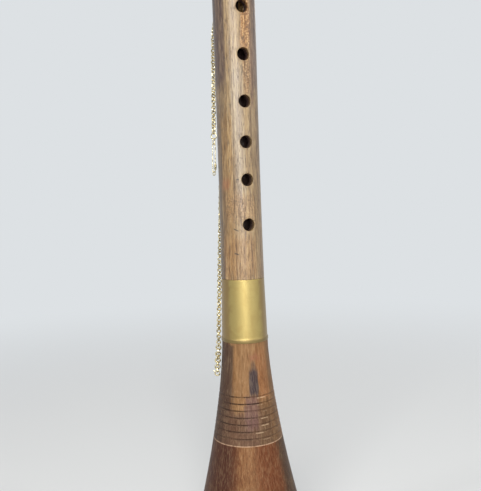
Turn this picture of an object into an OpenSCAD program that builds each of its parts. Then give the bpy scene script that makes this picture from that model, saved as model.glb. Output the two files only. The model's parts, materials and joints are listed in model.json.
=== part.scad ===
// Zurna: a turned wooden shawm that stands on its bell, with a brass band at the joint, a fork and
// a staple in the head, a cane reed, and two runs of fine chain that hang from an eye at the back.
// Millimetres. The origin is the centre of the bell's mouth, +Z runs up the bore, and the finger
// holes face -Y. Azimuths turn from +X towards +Y.

/* [Bell] */
// Height of the bell with its neck
bell_h = 164; // [145:1:200]
// Outer diameter of the mouth
mouth_d = 74; // [66:0.5:90]
// Width of the flat rim that the bell stands on
rim_w = 3.6; // [2.5:0.1:6]
// Radius of the rim's rounded outer edge
rim_round = 1.2; // [0.5:0.1:2]
// How late the outside flares: 1 is a plain cone
flare = 1.5; // [1.3:0.05:2]
// How late the inside flares
bore_flare = 1.75; // [1.5:0.05:2.2]
// Height of the lowest turned groove
groove_low = 75.7; // [70:0.1:85]
// Distance between the turned grooves
groove_step = 3.8; // [3:0.1:4.5]
// Number of turned grooves
groove_n = 7; // [3:1:8]
// Width of a turned groove
groove_w = 1.5; // [0.8:0.1:2]
// Depth of a turned groove
groove_depth = 0.4; // [0.2:0.05:0.6]
// Distance from the lowest groove down to the scribed ring
scribe_drop = 3.6; // [3:0.1:6]

/* [Brass band] */
// Height of the band
band_h = 35.5; // [25:0.5:45]
// Diameter at the band's upper edge and at the tube's foot
joint_d = 24.3; // [23.5:0.1:26]
// Diameter at the band's lower edge
band_foot_d = 26.1; // [25:0.1:29]
// Thickness of the brass
band_t = 0.6; // [0.4:0.05:0.9]
// Height of the raised lower rim
band_bead_h = 2.2; // [1:0.1:4]
// How far the raised rim stands out
band_bead_out = 0.35; // [0.1:0.05:0.8]

/* [Tube] */
// Length of the tube above the joint
tube_len = 232; // [215:1:260]
// Diameter at the slimmest place
waist_d = 23.3; // [22.5:0.1:24.3]
// Height of the slimmest place above the joint
waist_up = 84; // [60:1:120]
// Diameter at the head
head_d = 24.4; // [23.6:0.1:27]
// Diameter of the air bore
bore_d = 13; // [12:0.1:14]
// Diameter of the socket in the bell's neck
socket_d = 18.8; // [18:0.1:19.6]
// Length of the tube's tenon
tenon_len = 30; // [22:0.5:36]
// Depth of the groove that holds the thread on the tenon
lap_depth = 0.7; // [0.4:0.05:0.9]
// Bare wood at each end of the tenon
lap_margin = 4; // [2:0.5:6]

/* [Holes] */
// Diameter of a finger hole
hole_d = 7; // [5.5:0.1:7.6]
// Height of hole 1, the lowest, above the joint
hole_1_up = 30.5; // [26:0.5:34]
// Height of hole 2 above the joint
hole_2_up = 55.2; // [50:0.5:60]
// Height of hole 3 above the joint
hole_3_up = 75.8; // [71:0.5:81]
// Height of hole 4 above the joint
hole_4_up = 97.7; // [93:0.5:103]
// Height of hole 5 above the joint
hole_5_up = 122.8; // [118:0.5:128]
// Height of hole 6 above the joint
hole_6_up = 148; // [143:0.5:153]
// Height of hole 7, the highest, above the joint
hole_7_up = 173.2; // [168:0.5:178]
// Height of the thumb hole above the joint
thumb_up = 160.6; // [155:0.5:166]
// Diameter of the thumb hole
thumb_d = 7; // [5.5:0.1:7.6]

/* [Head] */
// Diameter of the head's socket for the fork
fork_d = 18.9; // [17:0.1:19.4]
// Depth of the head's socket
fork_deep = 30; // [24:0.5:34]
// Height of the brass collar
collar_h = 18; // [14:0.5:24]
// Thickness of the collar's brass
collar_t = 0.8; // [0.5:0.05:1.1]
// How far the collar stands out of the wood
collar_out = 0.4; // [0.1:0.05:0.7]
// Diameter of the fork's flange
flange_d = 22.4; // [21:0.1:24]
// Height of the fork's flange
flange_h = 5; // [3:0.1:8]
// Length of the fork's prongs
prong_len = 60; // [30:1:66]
// Thickness of a prong
prong_t = 1.6; // [1:0.1:2]
// Angle that a prong covers
prong_arc = 70; // [50:1:76]

/* [Staple and reed] */
// Diameter of the staple's socket in the fork
staple_d = 9.3; // [8.4:0.1:10]
// Length of the staple inside the fork
staple_in = 29; // [20:0.5:29.5]
// Thickness of the thread on the staple
staple_lap = 0.7; // [0.5:0.05:0.9]
// Thickness of the staple's brass
staple_t = 0.5; // [0.4:0.05:0.6]
// Height of the seat of the lip disc above the fork
seat_up = 21; // [16:0.5:26]
// Diameter of the disc's seat on the staple
seat_d = 7.6; // [7:0.1:9]
// Diameter of the staple at the disc
neck_d = 5.4; // [5.2:0.1:5.8]
// Diameter of the staple's tip
tip_d = 4.4; // [4.2:0.1:4.8]
// Length of the staple's tip
tip_len = 13; // [10:0.5:16]
// Diameter of the lip disc
disc_d = 38; // [30:0.5:46]
// Thickness of the lip disc
disc_t = 1.6; // [1:0.1:2.5]
// Free length of staple between the disc's seat and the reed
disc_room = 10.5; // [9.5:0.5:14]
// Length of the reed
reed_len = 25; // [20:0.5:30]
// Width of the reed's mouth
reed_w = 9.5; // [8:0.1:12]
// Thickness of the reed's mouth
reed_t = 1.1; // [0.9:0.05:1.6]
// Diameter of the reed's foot
reed_foot_d = 6; // [5.8:0.1:7]
// Height of the reed's round foot
reed_foot_h = 7; // [6:0.5:9]
// Thickness of the reed's thread
bind_t = 0.5; // [0.3:0.05:0.8]

/* [Chain] */
// Wire of a chain link
link_wire = 0.6; // [0.5:0.01:0.65]
// Outer diameter of a chain link
link_d = 2.85; // [2.75:0.05:3.1]
// Wire of a heavy link at the end
heavy_wire = 0.8; // [0.7:0.01:0.85]
// Outer diameter of a heavy link
heavy_d = 3.5; // [3.4:0.05:3.8]
// Number of heavy links
heavy_n = 8; // [4:2:10]
// Wire of the eye in the head
eye_wire = 1.1; // [1:0.05:1.2]
// Radius of the eye, to the middle of its wire
eye_r = 2; // [1.9:0.05:2.4]
// Wire of the split ring in the eye
ring_wire = 0.7; // [0.6:0.05:0.8]
// Radius of the split ring, to the middle of its wire
ring_r = 4; // [3.6:0.1:4.6]
// Distance between the two runs on the split ring
run_gap = 3; // [2.8:0.1:3.2]
// How far the first run falls before it turns plumb
a_knee_drop = 76; // [70:1:82]
// How far the first run falls to its end
a_end_drop = 132.6; // [126:0.2:140]
// How far the second run falls behind the tube
b_knee_drop = 133; // [125:1:141]
// How far the second run falls to its heavy links
b_bend_drop = 255; // [249:0.5:260]

/* [Chain ends] */
// Wire of the jump ring above the loop
jump_wire = 0.7; // [0.6:0.02:0.75]
// Radius of the jump ring, to the middle of its wire
jump_r = 1.78; // [1.7:0.02:2]
// Outer length of the link above the loop
pin_link_l = 4.2; // [4:0.1:5]
// Outer width of the link above the loop
pin_link_w = 2.5; // [2.4:0.05:2.8]
// Wire of the long loop
loop_wire = 0.5; // [0.4:0.02:0.55]
// Outer length of the long loop
loop_l = 17; // [14:0.2:19]
// Outer width of the long loop
loop_w = 2.3; // [2.2:0.05:2.5]
// Height of the sleeve's middle above the loop's foot
sleeve_up = 3.2; // [3:0.1:5]
// Diameter of the sleeve that closes the loop
sleeve_d = 1.5; // [1.2:0.05:1.8]
// Length of the sleeve
sleeve_l = 3.6; // [3:0.1:3.8]
// Radius of the tiny ring at the loop's foot, to the middle of its wire
end_ring_r = 1.15; // [1.1:0.05:1.4]
// Diameter of the clasp's tube
clasp_wire = 0.84; // [0.8:0.02:0.9]
// Radius of the clasp, to the middle of its tube
clasp_r = 1.4; // [1.35:0.05:1.7]
// Wall of the clasp's tube
clasp_wall = 0.14; // [0.12:0.01:0.16]
// Travel of the clasp's lever in degrees
clasp_travel = 55; // [40:1:60]
// Length of the lever's knob
knob_l = 1.6; // [1.2:0.1:2]
// Diameter of the lever's knob
knob_d = 0.6; // [0.4:0.02:0.66]

/* [Hidden] */
$fn = 48;

// Clearances
run_fit = 0.05;       // between a shaft and the bore that it turns or slides in
press_gap = 0.02;     // between pieces that are pressed together
ring_fit = 0.04;      // between two wires that hang in each other
end_gap = 0.3;        // between the end of a tenon or plug and the bottom of its socket
through = 1;          // how far a cutting solid runs past a face
slices = 20;          // straight stretches in a curved outline

wood = "#8a6242";
dark_wood = "#6b4630";
brass = "#b79a4a";
gold = "#d9c27a";
thread = "#7d2f25";
cane = "#d2b06a";

// Heights
joint_z = bell_h;
band_z = joint_z - band_h;
socket_z = joint_z - tenon_len - end_gap;
head_z = joint_z + tube_len;
fork_z = head_z - fork_deep;
fork_top = head_z + flange_h;
seat_z = fork_top + seat_up;
reed_z = seat_z + disc_room;
tip_z = reed_z - run_fit - 1.5;
eye_z = head_z - collar_h / 2;
hole_ups = [hole_1_up, hole_2_up, hole_3_up, hole_4_up, hole_5_up, hole_6_up, hole_7_up];

// Outside radius of the bell, of the band's cone and of the tube at a height
function bell_r(z) =
    band_foot_d / 2 + (mouth_d - band_foot_d) / 2 * pow(max(0, (band_z - z) / band_z), flare);
function band_r(z) =
    band_foot_d / 2 + (joint_d - band_foot_d) / 2 * (z - band_z) / band_h;
function tube_r(z) =
    let (up = z - joint_z,
         low = (waist_up - up) / waist_up,
         high = (up - waist_up) / (tube_len - waist_up))
    up < waist_up ? waist_d / 2 + (joint_d - waist_d) / 2 * low * low
                  : waist_d / 2 + (head_d - waist_d) / 2 * high * high;
function skin_r(z) = z < band_z ? bell_r(z) : z < joint_z ? band_r(z) : tube_r(z);

// Inside radius of the bell below its socket
function inside_r(z) =
    bore_d / 2 + (mouth_d / 2 - rim_w - bore_d / 2) * pow(max(0, (socket_z - z) / socket_z), bore_flare);

// Steps from 0 to 1, and a point at an azimuth, a distance off the skin and a height
steps = [for (i = [0 : slices]) i / slices];
function beside(azimuth, off, z) =
    let (r = skin_r(z) + off) [r * cos(azimuth), r * sin(azimuth), z];

// Chain layout
eye_turn = 100;
eye_stand = 0.3;
eye_out = head_d / 2 + collar_out + eye_stand + eye_r + eye_wire / 2;
ring_top = eye_z - eye_r + (eye_wire + ring_wire) / 2 + ring_fit;
ring_z = ring_top - ring_r;
run_drop = sqrt(ring_r * ring_r - run_gap * run_gap / 4);
ring_rise = ((ring_wire + link_wire) / 2 + 2 * ring_fit) * ring_r / run_drop - link_wire - ring_fit;
a_turn = 119.8;
a_end_turn = 124.1;
a_off = 3.55;
a_end_off = 4.85;
a_foot_turn = 125.3;
a_foot_off = 5.35;
b_turn = 108.2;
b_off = 2.85;
b_bend_turn = 143.6;
b_bend_off = 2.6;
b_end_turn = 146.5;
b_end_off = 2.45;

// Where a run starts: its first link clears the split ring's wire, which is thick and runs aslant
function on_ring(side) =
    [eye_out * cos(eye_turn) - side * run_gap / 2 * sin(eye_turn),
     eye_out * sin(eye_turn) + side * run_gap / 2 * cos(eye_turn),
     ring_z - run_drop + ring_rise];
a_top = on_ring(1);
a_knee = beside(a_turn, a_off, a_top[2] - a_knee_drop);
a_end = beside(a_end_turn, a_end_off, a_top[2] - a_end_drop);
b_top = on_ring(-1);
b_knee = beside(b_turn, b_off, b_top[2] - b_knee_drop);
b_bend = beside(b_bend_turn, b_bend_off, b_top[2] - b_bend_drop);

// The longest pitch at which the wires of two links still clear each other
link_pitch = link_d - 2 * link_wire - ring_fit;
heavy_pitch = heavy_d - 2 * heavy_wire - ring_fit;
heavy_run = heavy_n * heavy_pitch;
b_aim = beside(b_end_turn, b_end_off, b_bend[2] - heavy_run) - b_bend;
b_end = b_bend + b_aim * heavy_run / norm(b_aim);
function even_links(p, q, pitch) = 2 * ceil(norm(p - q) / (2 * pitch));

// A groove's cutter is a round ring that bites groove_depth deep and groove_w wide
groove_r = (groove_w * groove_w / 4 + groove_depth * groove_depth) / (2 * groove_depth);

module lathe(outline) {
    rotate_extrude() polygon(outline);
}

module ring(radius, wire) {
    rotate_extrude() translate([radius, 0]) circle(d = wire);
}

// A ring that stands on edge in the plane of an azimuth and +Z
module upright_ring(radius, wire, azimuth) {
    rotate([90, 0, azimuth]) ring(radius, wire);
}

// An oval link of round wire around the origin, in the plane of an azimuth and +Z
module oval(length, width, wire, azimuth) {
    bend = (width - wire) / 2;
    straight = (length - width) / 2;
    rotate([0, 0, azimuth]) {
        for (end = [0, 1]) mirror([0, 0, end]) translate([0, 0, straight]) rotate([90, 0, 0])
            rotate_extrude(angle = 180) translate([bend, 0]) circle(d = wire);
        for (side = [-1, 1]) translate([side * bend, 0, -straight]) cylinder(d = wire, h = 2 * straight);
    }
}

// Stands children that run up +Z from their origin at the point p, pointed at q
module aim(p, q) {
    d = q - p;
    turn = atan2(d[1], d[0]);
    lean = acos(d[2] / norm(d));
    translate(p) rotate([0, 0, turn]) rotate([0, lean, 0]) rotate([0, 0, -turn]) children();
}

// Round links from the wire at the point top down to the point low. Each stands across the last,
// and they turn from one azimuth to another on the way.
module strand(top, low, turn_top, turn_low, diameter, wire, count) {
    pitch = norm(top - low) / count;
    radius = (diameter - wire) / 2;
    aim(low, top) for (i = [0 : count - 1]) translate([0, 0, i * pitch + radius])
        upright_ring(radius, wire,
                     turn_low + (turn_top - turn_low) * (i + 0.5) / count + (i % 2 == 0 ? 90 : 0));
}

module bell() {
    core_top = joint_d / 2 - band_t - press_gap;
    core_foot = band_foot_d / 2 - band_t - press_gap;
    color(wood) difference() {
        lathe(concat(
            [[0, 0], [mouth_d / 2 - rim_round, 0]],
            [for (a = [-60 : 30 : 0]) [mouth_d / 2 - rim_round + rim_round * cos(a),
                                       rim_round + rim_round * sin(a)]],
            [for (t = steps) let (z = rim_round + (band_z - rim_round) * t)
                if (t > 0) [bell_r(z), z]],
            [[core_foot, band_z], [core_top, joint_z], [0, joint_z]]
        ));
        lathe(concat(
            [[0, -through], [mouth_d / 2 - rim_w, -through]],
            [for (t = steps) let (z = socket_z * t) [inside_r(z), z]],
            [[bore_d / 2, socket_z + through], [0, socket_z + through]]
        ));
        translate([0, 0, socket_z]) cylinder(d = socket_d, h = tenon_len + end_gap + through);
        for (i = [0 : groove_n - 1]) let (z = groove_low + i * groove_step)
            translate([0, 0, z]) ring(bell_r(z) + groove_r - groove_depth, 2 * groove_r);
        translate([0, 0, groove_low - scribe_drop])
            ring(bell_r(groove_low - scribe_drop) + groove_depth / 2, 2 * groove_depth);
    }
}

module bell_band() {
    bead_r = band_r(band_z + band_bead_h);
    color(brass) lathe([
        [band_foot_d / 2 - band_t, band_z],
        [band_foot_d / 2 + band_bead_out, band_z],
        [band_foot_d / 2 + band_bead_out, band_z + band_bead_h * 0.7],
        [bead_r, band_z + band_bead_h],
        [joint_d / 2, joint_z],
        [joint_d / 2 - band_t, joint_z]
    ]);
}

module finger_hole(up, azimuth, diameter) {
    translate([0, 0, joint_z + up]) rotate([90, 0, azimuth])
        cylinder(d = diameter, h = head_d);
}

module body_tube() {
    tenon_r = socket_d / 2 - 4 * run_fit;
    tenon_z = joint_z - tenon_len;
    collar_seat = head_d / 2 + collar_out - collar_t - press_gap;
    color(wood) difference() {
        lathe(concat(
            [[0, tenon_z], [tenon_r, tenon_z], [tenon_r, joint_z], [joint_d / 2, joint_z]],
            [for (t = steps) let (z = joint_z + (tube_len - collar_h) * t) if (t > 0) [tube_r(z), z]],
            [[collar_seat, head_z - collar_h], [collar_seat, head_z], [0, head_z]]
        ));
        translate([0, 0, tenon_z - through]) cylinder(d = bore_d, h = tube_len + tenon_len);
        translate([0, 0, fork_z]) cylinder(d = fork_d, h = fork_deep + through);
        translate([0, 0, tenon_z + lap_margin]) difference() {
            cylinder(d = socket_d + 2, h = tenon_len - 2 * lap_margin);
            translate([0, 0, -through])
                cylinder(r = tenon_r - lap_depth, h = tenon_len - 2 * lap_margin + 2 * through);
        }
        for (up = hole_ups) finger_hole(up, 0, hole_d);
        finger_hole(thumb_up, 180, thumb_d);
        eye_shank(eye_wire / 2 + press_gap, through);
    }
}

module tenon_lapping() {
    tenon_r = socket_d / 2 - 4 * run_fit;
    color(thread) translate([0, 0, joint_z - tenon_len + lap_margin + press_gap]) difference() {
        cylinder(r = socket_d / 2 - run_fit, h = tenon_len - 2 * lap_margin - 2 * press_gap);
        translate([0, 0, -through])
            cylinder(r = tenon_r - lap_depth + press_gap, h = tenon_len + 2 * through);
    }
}

module head_collar() {
    outer = head_d / 2 + collar_out;
    color(brass) difference() {
        translate([0, 0, head_z - collar_h]) cylinder(r = outer, h = collar_h);
        translate([0, 0, head_z - collar_h - through])
            cylinder(r = outer - collar_t, h = collar_h + 2 * through);
        eye_shank(eye_wire / 2 + press_gap, through);
    }
}

// The eye's shank, from the wood just outside the fork's socket to the eye
module eye_shank(radius, longer) {
    start = fork_d / 2 + 0.5 - longer * press_gap;
    rotate([0, 0, eye_turn]) translate([start, 0, eye_z]) rotate([0, 90, 0])
        cylinder(r = radius, h = eye_out - eye_r - start);
}

module chain_eye() {
    color(brass) {
        eye_shank(eye_wire / 2, 0);
        rotate([0, 0, eye_turn]) translate([eye_out, 0, eye_z]) upright_ring(eye_r, eye_wire, 0);
    }
}

module fork_insert() {
    plug_r = fork_d / 2 - run_fit;
    prong_r = bore_d / 2 - 2 * run_fit;
    socket_floor = fork_top - staple_in - end_gap;
    shoulder = fork_z + end_gap;
    color(dark_wood) difference() {
        union() {
            translate([0, 0, head_z]) cylinder(d = flange_d, h = flange_h);
            translate([0, 0, shoulder]) cylinder(r = plug_r, h = head_z - shoulder);
            for (side = [0, 180]) rotate([0, 0, side - prong_arc / 2])
                translate([0, 0, fork_z - prong_len]) rotate_extrude(angle = prong_arc)
                    translate([prong_r - prong_t, 0]) square([prong_t, prong_len + end_gap + through]);
        }
        translate([0, 0, socket_floor]) cylinder(d = staple_d, h = staple_in + end_gap + through);
        translate([0, 0, shoulder - through])
            cylinder(r = prong_r - prong_t, h = socket_floor - shoulder + 2 * through);
    }
}

module staple_tube() {
    foot_r = staple_d / 2 - run_fit - staple_lap;
    neck_r = neck_d / 2;
    tip_r = tip_d / 2;
    foot_z = fork_top - staple_in;
    ledge = 1.2;
    taper_z = fork_top + 2;
    color(brass) lathe([
        [foot_r - staple_t, foot_z], [foot_r, foot_z], [foot_r, taper_z],
        [neck_r + 0.3, seat_z - ledge - 0.8], [seat_d / 2, seat_z - ledge], [seat_d / 2, seat_z],
        [neck_r, seat_z], [neck_r, seat_z + disc_t + 1.5], [tip_r, tip_z],
        [tip_r, reed_z + tip_len - 2], [tip_r - staple_t, reed_z + tip_len - 2],
        [tip_r - staple_t, tip_z], [neck_r - staple_t, seat_z + disc_t + 1.5],
        [neck_r - staple_t, seat_z - ledge], [foot_r - staple_t, taper_z]
    ]);
}

module staple_lapping() {
    foot_r = staple_d / 2 - run_fit - staple_lap;
    color(thread) translate([0, 0, fork_top - staple_in + 2]) difference() {
        cylinder(r = staple_d / 2 - run_fit, h = staple_in - 3);
        translate([0, 0, -through]) cylinder(r = foot_r + press_gap, h = staple_in);
    }
}

module lip_disc() {
    edge = disc_t / 2;
    bore_r = neck_d / 2 + run_fit;
    color(brass) lathe(concat(
        [[bore_r, seat_z], [disc_d / 2 - edge, seat_z]],
        [for (a = [-60 : 30 : 60]) [disc_d / 2 - edge + edge * cos(a), seat_z + edge + edge * sin(a)]],
        [[disc_d / 2 - edge, seat_z + disc_t], [bore_r, seat_z + disc_t]]
    ));
}

module reed() {
    wall = 0.35;
    top_z = reed_z + reed_len;
    color(cane) difference() {
        union() {
            translate([0, 0, reed_z]) cylinder(d = reed_foot_d, h = reed_foot_h, $fn = 32);
            hull() {
                translate([0, 0, reed_z + reed_foot_h - press_gap])
                    cylinder(d = reed_foot_d, h = press_gap, $fn = 32);
                translate([-reed_w / 2, -reed_t / 2, top_z - 1]) cube([reed_w, reed_t, 1]);
            }
        }
        translate([0, 0, reed_z - through]) cylinder(r = tip_d / 2 + run_fit, h = tip_len + through);
        hull() {
            translate([0, 0, reed_z + tip_len - 2]) cylinder(d = tip_d - 2 * wall, h = 1, $fn = 32);
            translate([-reed_w / 2 + wall, -reed_t / 2 + wall, top_z])
                cube([reed_w - 2 * wall, reed_t - 2 * wall, through]);
        }
    }
}

module reed_binding() {
    color(thread) translate([0, 0, reed_z + 0.5]) difference() {
        cylinder(d = reed_foot_d + 2 * bind_t, h = reed_foot_h - 1);
        translate([0, 0, -through]) cylinder(d = reed_foot_d + 2 * press_gap, h = reed_foot_h + 1);
    }
}

module chain_ring() {
    color(gold) translate([eye_out * cos(eye_turn), eye_out * sin(eye_turn), ring_z])
        upright_ring(ring_r, ring_wire, eye_turn + 90);
}

module light_strand(top, low, turn_top, turn_low) {
    color(gold) strand(top, low, turn_top, turn_low, link_d, link_wire,
                       even_links(top, low, link_pitch));
}

module strand_a_upper() {
    light_strand(a_top, a_knee, eye_turn, a_turn);
}

module strand_a_lower() {
    light_strand(a_knee, a_end, a_turn, a_end_turn);
}

// How far below the first run's end, and in line with it, each piece of the pin has its middle
jump_drop = jump_r - (link_wire + jump_wire) / 2 - ring_fit;
pin_link_half = (pin_link_l - link_wire) / 2;
pin_link_drop = jump_drop + jump_drop + pin_link_half;
loop_half = (loop_l - loop_wire) / 2;
loop_drop = pin_link_drop + pin_link_half - (link_wire + loop_wire) / 2 - ring_fit + loop_half;
end_ring_drop = loop_drop + loop_half - loop_wire - ring_fit + end_ring_r;
a_foot = beside(a_foot_turn, a_foot_off, a_end[2] - end_ring_drop);

// Places children on the pin's own axis, a distance below the first run's end
module on_pin(drop) {
    aim(a_foot, a_end) translate([0, 0, norm(a_end - a_foot) - drop]) children();
}

module pin_ring() {
    color(gold) on_pin(jump_drop) upright_ring(jump_r, jump_wire, a_end_turn);
}

module pin_link() {
    color(gold) on_pin(pin_link_drop) oval(pin_link_l, pin_link_w, link_wire, a_end_turn + 90);
}

module pin_loop() {
    color(gold) on_pin(loop_drop) oval(loop_l, loop_w, loop_wire, a_end_turn);
}

// The sleeve is crimped around the loop's leg on the tube's side
module pin_sleeve() {
    leg = (loop_w - loop_wire) / 2;
    end_r = loop_wire / 2 + 0.2;
    belly = sleeve_d / 2;
    bulge = (sleeve_l * sleeve_l / 4 + pow(belly - end_r, 2)) / (2 * (belly - end_r));
    color(gold) on_pin(loop_drop + loop_half - sleeve_up) rotate([0, 0, a_end_turn])
        translate([-leg, 0, 0]) difference() {
            rotate_extrude() intersection() {
                translate([belly - bulge, 0]) circle(r = bulge, $fn = 96);
                translate([0, -sleeve_l / 2]) square([belly, sleeve_l]);
            }
            translate([0, 0, -sleeve_l]) cylinder(r = loop_wire / 2 + press_gap, h = 2 * sleeve_l);
        }
}

module pin_end_ring() {
    color(gold) on_pin(end_ring_drop) upright_ring(end_ring_r, loop_wire, a_end_turn + 90);
}

module strand_b_upper() {
    light_strand(b_top, b_knee, eye_turn, b_turn);
}

module strand_b_lower() {
    light_strand(b_knee, b_bend, b_turn, b_bend_turn);
}

module strand_b_end() {
    color(gold) strand(b_bend, b_end, b_bend_turn, b_end_turn, heavy_d, heavy_wire, heavy_n);
}

// The clasp hangs in the last heavy link, in the plane of its azimuth and +Z. Its angles turn from
// outward to upward: the gap faces the bell, and the lever's knob points away from it.
clasp_z = b_end[2] + (heavy_wire + clasp_wire) / 2 + ring_fit - clasp_r;
gap_low = 184;
gap_high = 132;
knob_turn = 36;
gate_d = clasp_wire - 2 * clasp_wall - run_fit;

module on_clasp() {
    translate([b_end[0], b_end[1], clasp_z]) rotate([90, 0, b_end_turn]) children();
}

module clasp_arc(from, to, diameter) {
    rotate([0, 0, from]) rotate_extrude(angle = to - from) translate([clasp_r, 0]) circle(d = diameter);
}

module clasp_ring() {
    slot = asin((knob_d / 2 + run_fit) / clasp_r) + 2;
    color(gold) on_clasp() difference() {
        clasp_arc(gap_low, gap_high + 360, clasp_wire);
        clasp_arc(knob_turn - clasp_travel - 90, gap_high + 10, clasp_wire - 2 * clasp_wall);
        rotate([0, 0, knob_turn - clasp_travel - slot])
            rotate_extrude(angle = clasp_travel + 2 * slot)
                translate([clasp_r, -knob_d / 2 - run_fit]) square([clasp_wire, knob_d + 2 * run_fit]);
    }
}

module clasp_lever() {
    color(gold) on_clasp() {
        clasp_arc(knob_turn - 8, gap_low - 2, gate_d);
        rotate([0, 0, knob_turn]) translate([clasp_r, 0, 0]) rotate([0, 90, 0])
            cylinder(d = knob_d, h = knob_l);
    }
}

bell();
bell_band();
body_tube();
tenon_lapping();
head_collar();
chain_eye();
fork_insert();
staple_tube();
staple_lapping();
lip_disc();
reed();
reed_binding();
chain_ring();
strand_a_upper();
strand_a_lower();
pin_ring();
pin_link();
pin_loop();
pin_sleeve();
pin_end_ring();
strand_b_upper();
strand_b_lower();
strand_b_end();
clasp_ring();
clasp_lever();
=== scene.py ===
"""Looks of a zurna: a turned wooden shawm with a brass band, a fork, a staple, a reed and two fine chains.

Sizes are in millimetres and degrees. The z axis runs up the bore, and the finger holes face -y.
"""
import json
import logging
import math
from collections.abc import Callable, Sequence
from dataclasses import dataclass, field
from enum import Enum

import bmesh
import bpy
from mathutils import Matrix, Vector, noise


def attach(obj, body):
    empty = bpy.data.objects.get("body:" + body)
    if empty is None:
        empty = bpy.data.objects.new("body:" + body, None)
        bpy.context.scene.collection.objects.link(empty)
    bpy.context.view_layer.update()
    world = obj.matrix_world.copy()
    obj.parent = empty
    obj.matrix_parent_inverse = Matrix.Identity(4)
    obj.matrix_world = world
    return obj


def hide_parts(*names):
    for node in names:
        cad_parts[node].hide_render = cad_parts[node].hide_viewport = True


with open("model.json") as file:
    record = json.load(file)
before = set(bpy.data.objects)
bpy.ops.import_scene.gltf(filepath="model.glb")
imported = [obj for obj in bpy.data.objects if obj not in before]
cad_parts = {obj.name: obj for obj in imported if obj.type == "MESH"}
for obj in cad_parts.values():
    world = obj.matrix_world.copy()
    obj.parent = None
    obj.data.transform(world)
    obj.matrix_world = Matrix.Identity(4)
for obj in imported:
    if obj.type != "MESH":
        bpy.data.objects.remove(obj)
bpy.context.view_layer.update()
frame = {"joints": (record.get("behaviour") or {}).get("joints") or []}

MM = 0.001
UP = Vector((0, 0, 1))
log = logging.getLogger("zurna")

Pair = tuple[float, float]
Colour = tuple[float, float, float, float]
Outline = list[Pair]


def tone(red: int, green: int, blue: int) -> Colour:
    """Turns a screen colour of 0 to 255 into the linear colour that a shader takes.

    Args:
        red, green, blue: The colour as it shows on a screen.

    Returns:
        The linear colour with full opacity.
    """
    def linear(level: float) -> float:
        """The linear value of one screen level of 0 to 1."""
        return level / 12.92 if level <= 0.04045 else ((level + 0.055) / 1.055) ** 2.4

    return linear(red / 255), linear(green / 255), linear(blue / 255), 1.0


def direction(azimuth: float) -> Vector:
    """The level direction at an azimuth, which turns from +x towards +y."""
    return Vector((math.cos(math.radians(azimuth)), math.sin(math.radians(azimuth)), 0))


def mix(low: float, high: float, share: float) -> float:
    """The value a share of the way from low to high."""
    return low + (high - low) * share


def ease(share: float) -> float:
    """A share of 0 to 1, slowed down at both ends."""
    share = min(1.0, max(0.0, share))
    return share * share * (3 - 2 * share)


class Signal:
    """A shader socket that takes part in sums. An expression on signals adds its Math nodes."""

    def __init__(self, book: "Book", socket: bpy.types.NodeSocket) -> None:
        """Keeps the socket and the book of nodes that it belongs to."""
        self.book = book
        self.socket = socket

    def _maths(self, operation: str, first: "Signal | float", second: "Signal | float" = 0.0) -> "Signal":
        """The result of a Math node on two values."""
        return self.book.node("ShaderNodeMath", {"operation": operation}, {0: first, 1: second})

    def __add__(self, other: "Signal | float") -> "Signal":
        """self + other"""
        return self._maths("ADD", self, other)

    def __radd__(self, other: float) -> "Signal":
        """other + self"""
        return self._maths("ADD", other, self)

    def __sub__(self, other: "Signal | float") -> "Signal":
        """self - other"""
        return self._maths("SUBTRACT", self, other)

    def __rsub__(self, other: float) -> "Signal":
        """other - self"""
        return self._maths("SUBTRACT", other, self)

    def __mul__(self, other: "Signal | float") -> "Signal":
        """self * other"""
        return self._maths("MULTIPLY", self, other)

    def __rmul__(self, other: float) -> "Signal":
        """other * self"""
        return self._maths("MULTIPLY", other, self)

    def __truediv__(self, other: "Signal | float") -> "Signal":
        """self / other"""
        return self._maths("DIVIDE", self, other)

    def __pow__(self, other: "Signal | float") -> "Signal":
        """self to the power of other"""
        return self._maths("POWER", self, other)

    def __abs__(self) -> "Signal":
        """The size of self without its sign."""
        return self._maths("ABSOLUTE", self)

    def fraction(self) -> "Signal":
        """What is left of self above the whole number below it."""
        return self._maths("FRACT", self)

    def sine(self) -> "Signal":
        """The sine of self in radians."""
        return self._maths("SINE", self)

    def angle_from(self, other: "Signal") -> "Signal":
        """The angle in radians of the point (other, self)."""
        return self._maths("ARCTAN2", self, other)

    def between(self, low: float, high: float, start: float = 0.0, end: float = 1.0) -> "Signal":
        """A smooth change from start to end while self goes from low to high.

        Args:
            low, high: Where the change begins and ends. low may be above high.
            start, end: The values before and after the change.

        Returns:
            The changed signal.
        """
        if low > high:
            low, high, start, end = high, low, end, start
        settings = {"interpolation_type": "SMOOTHSTEP"}
        return self.book.node("ShaderNodeMapRange", settings, {0: self, 1: low, 2: high, 3: start, 4: end})


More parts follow.
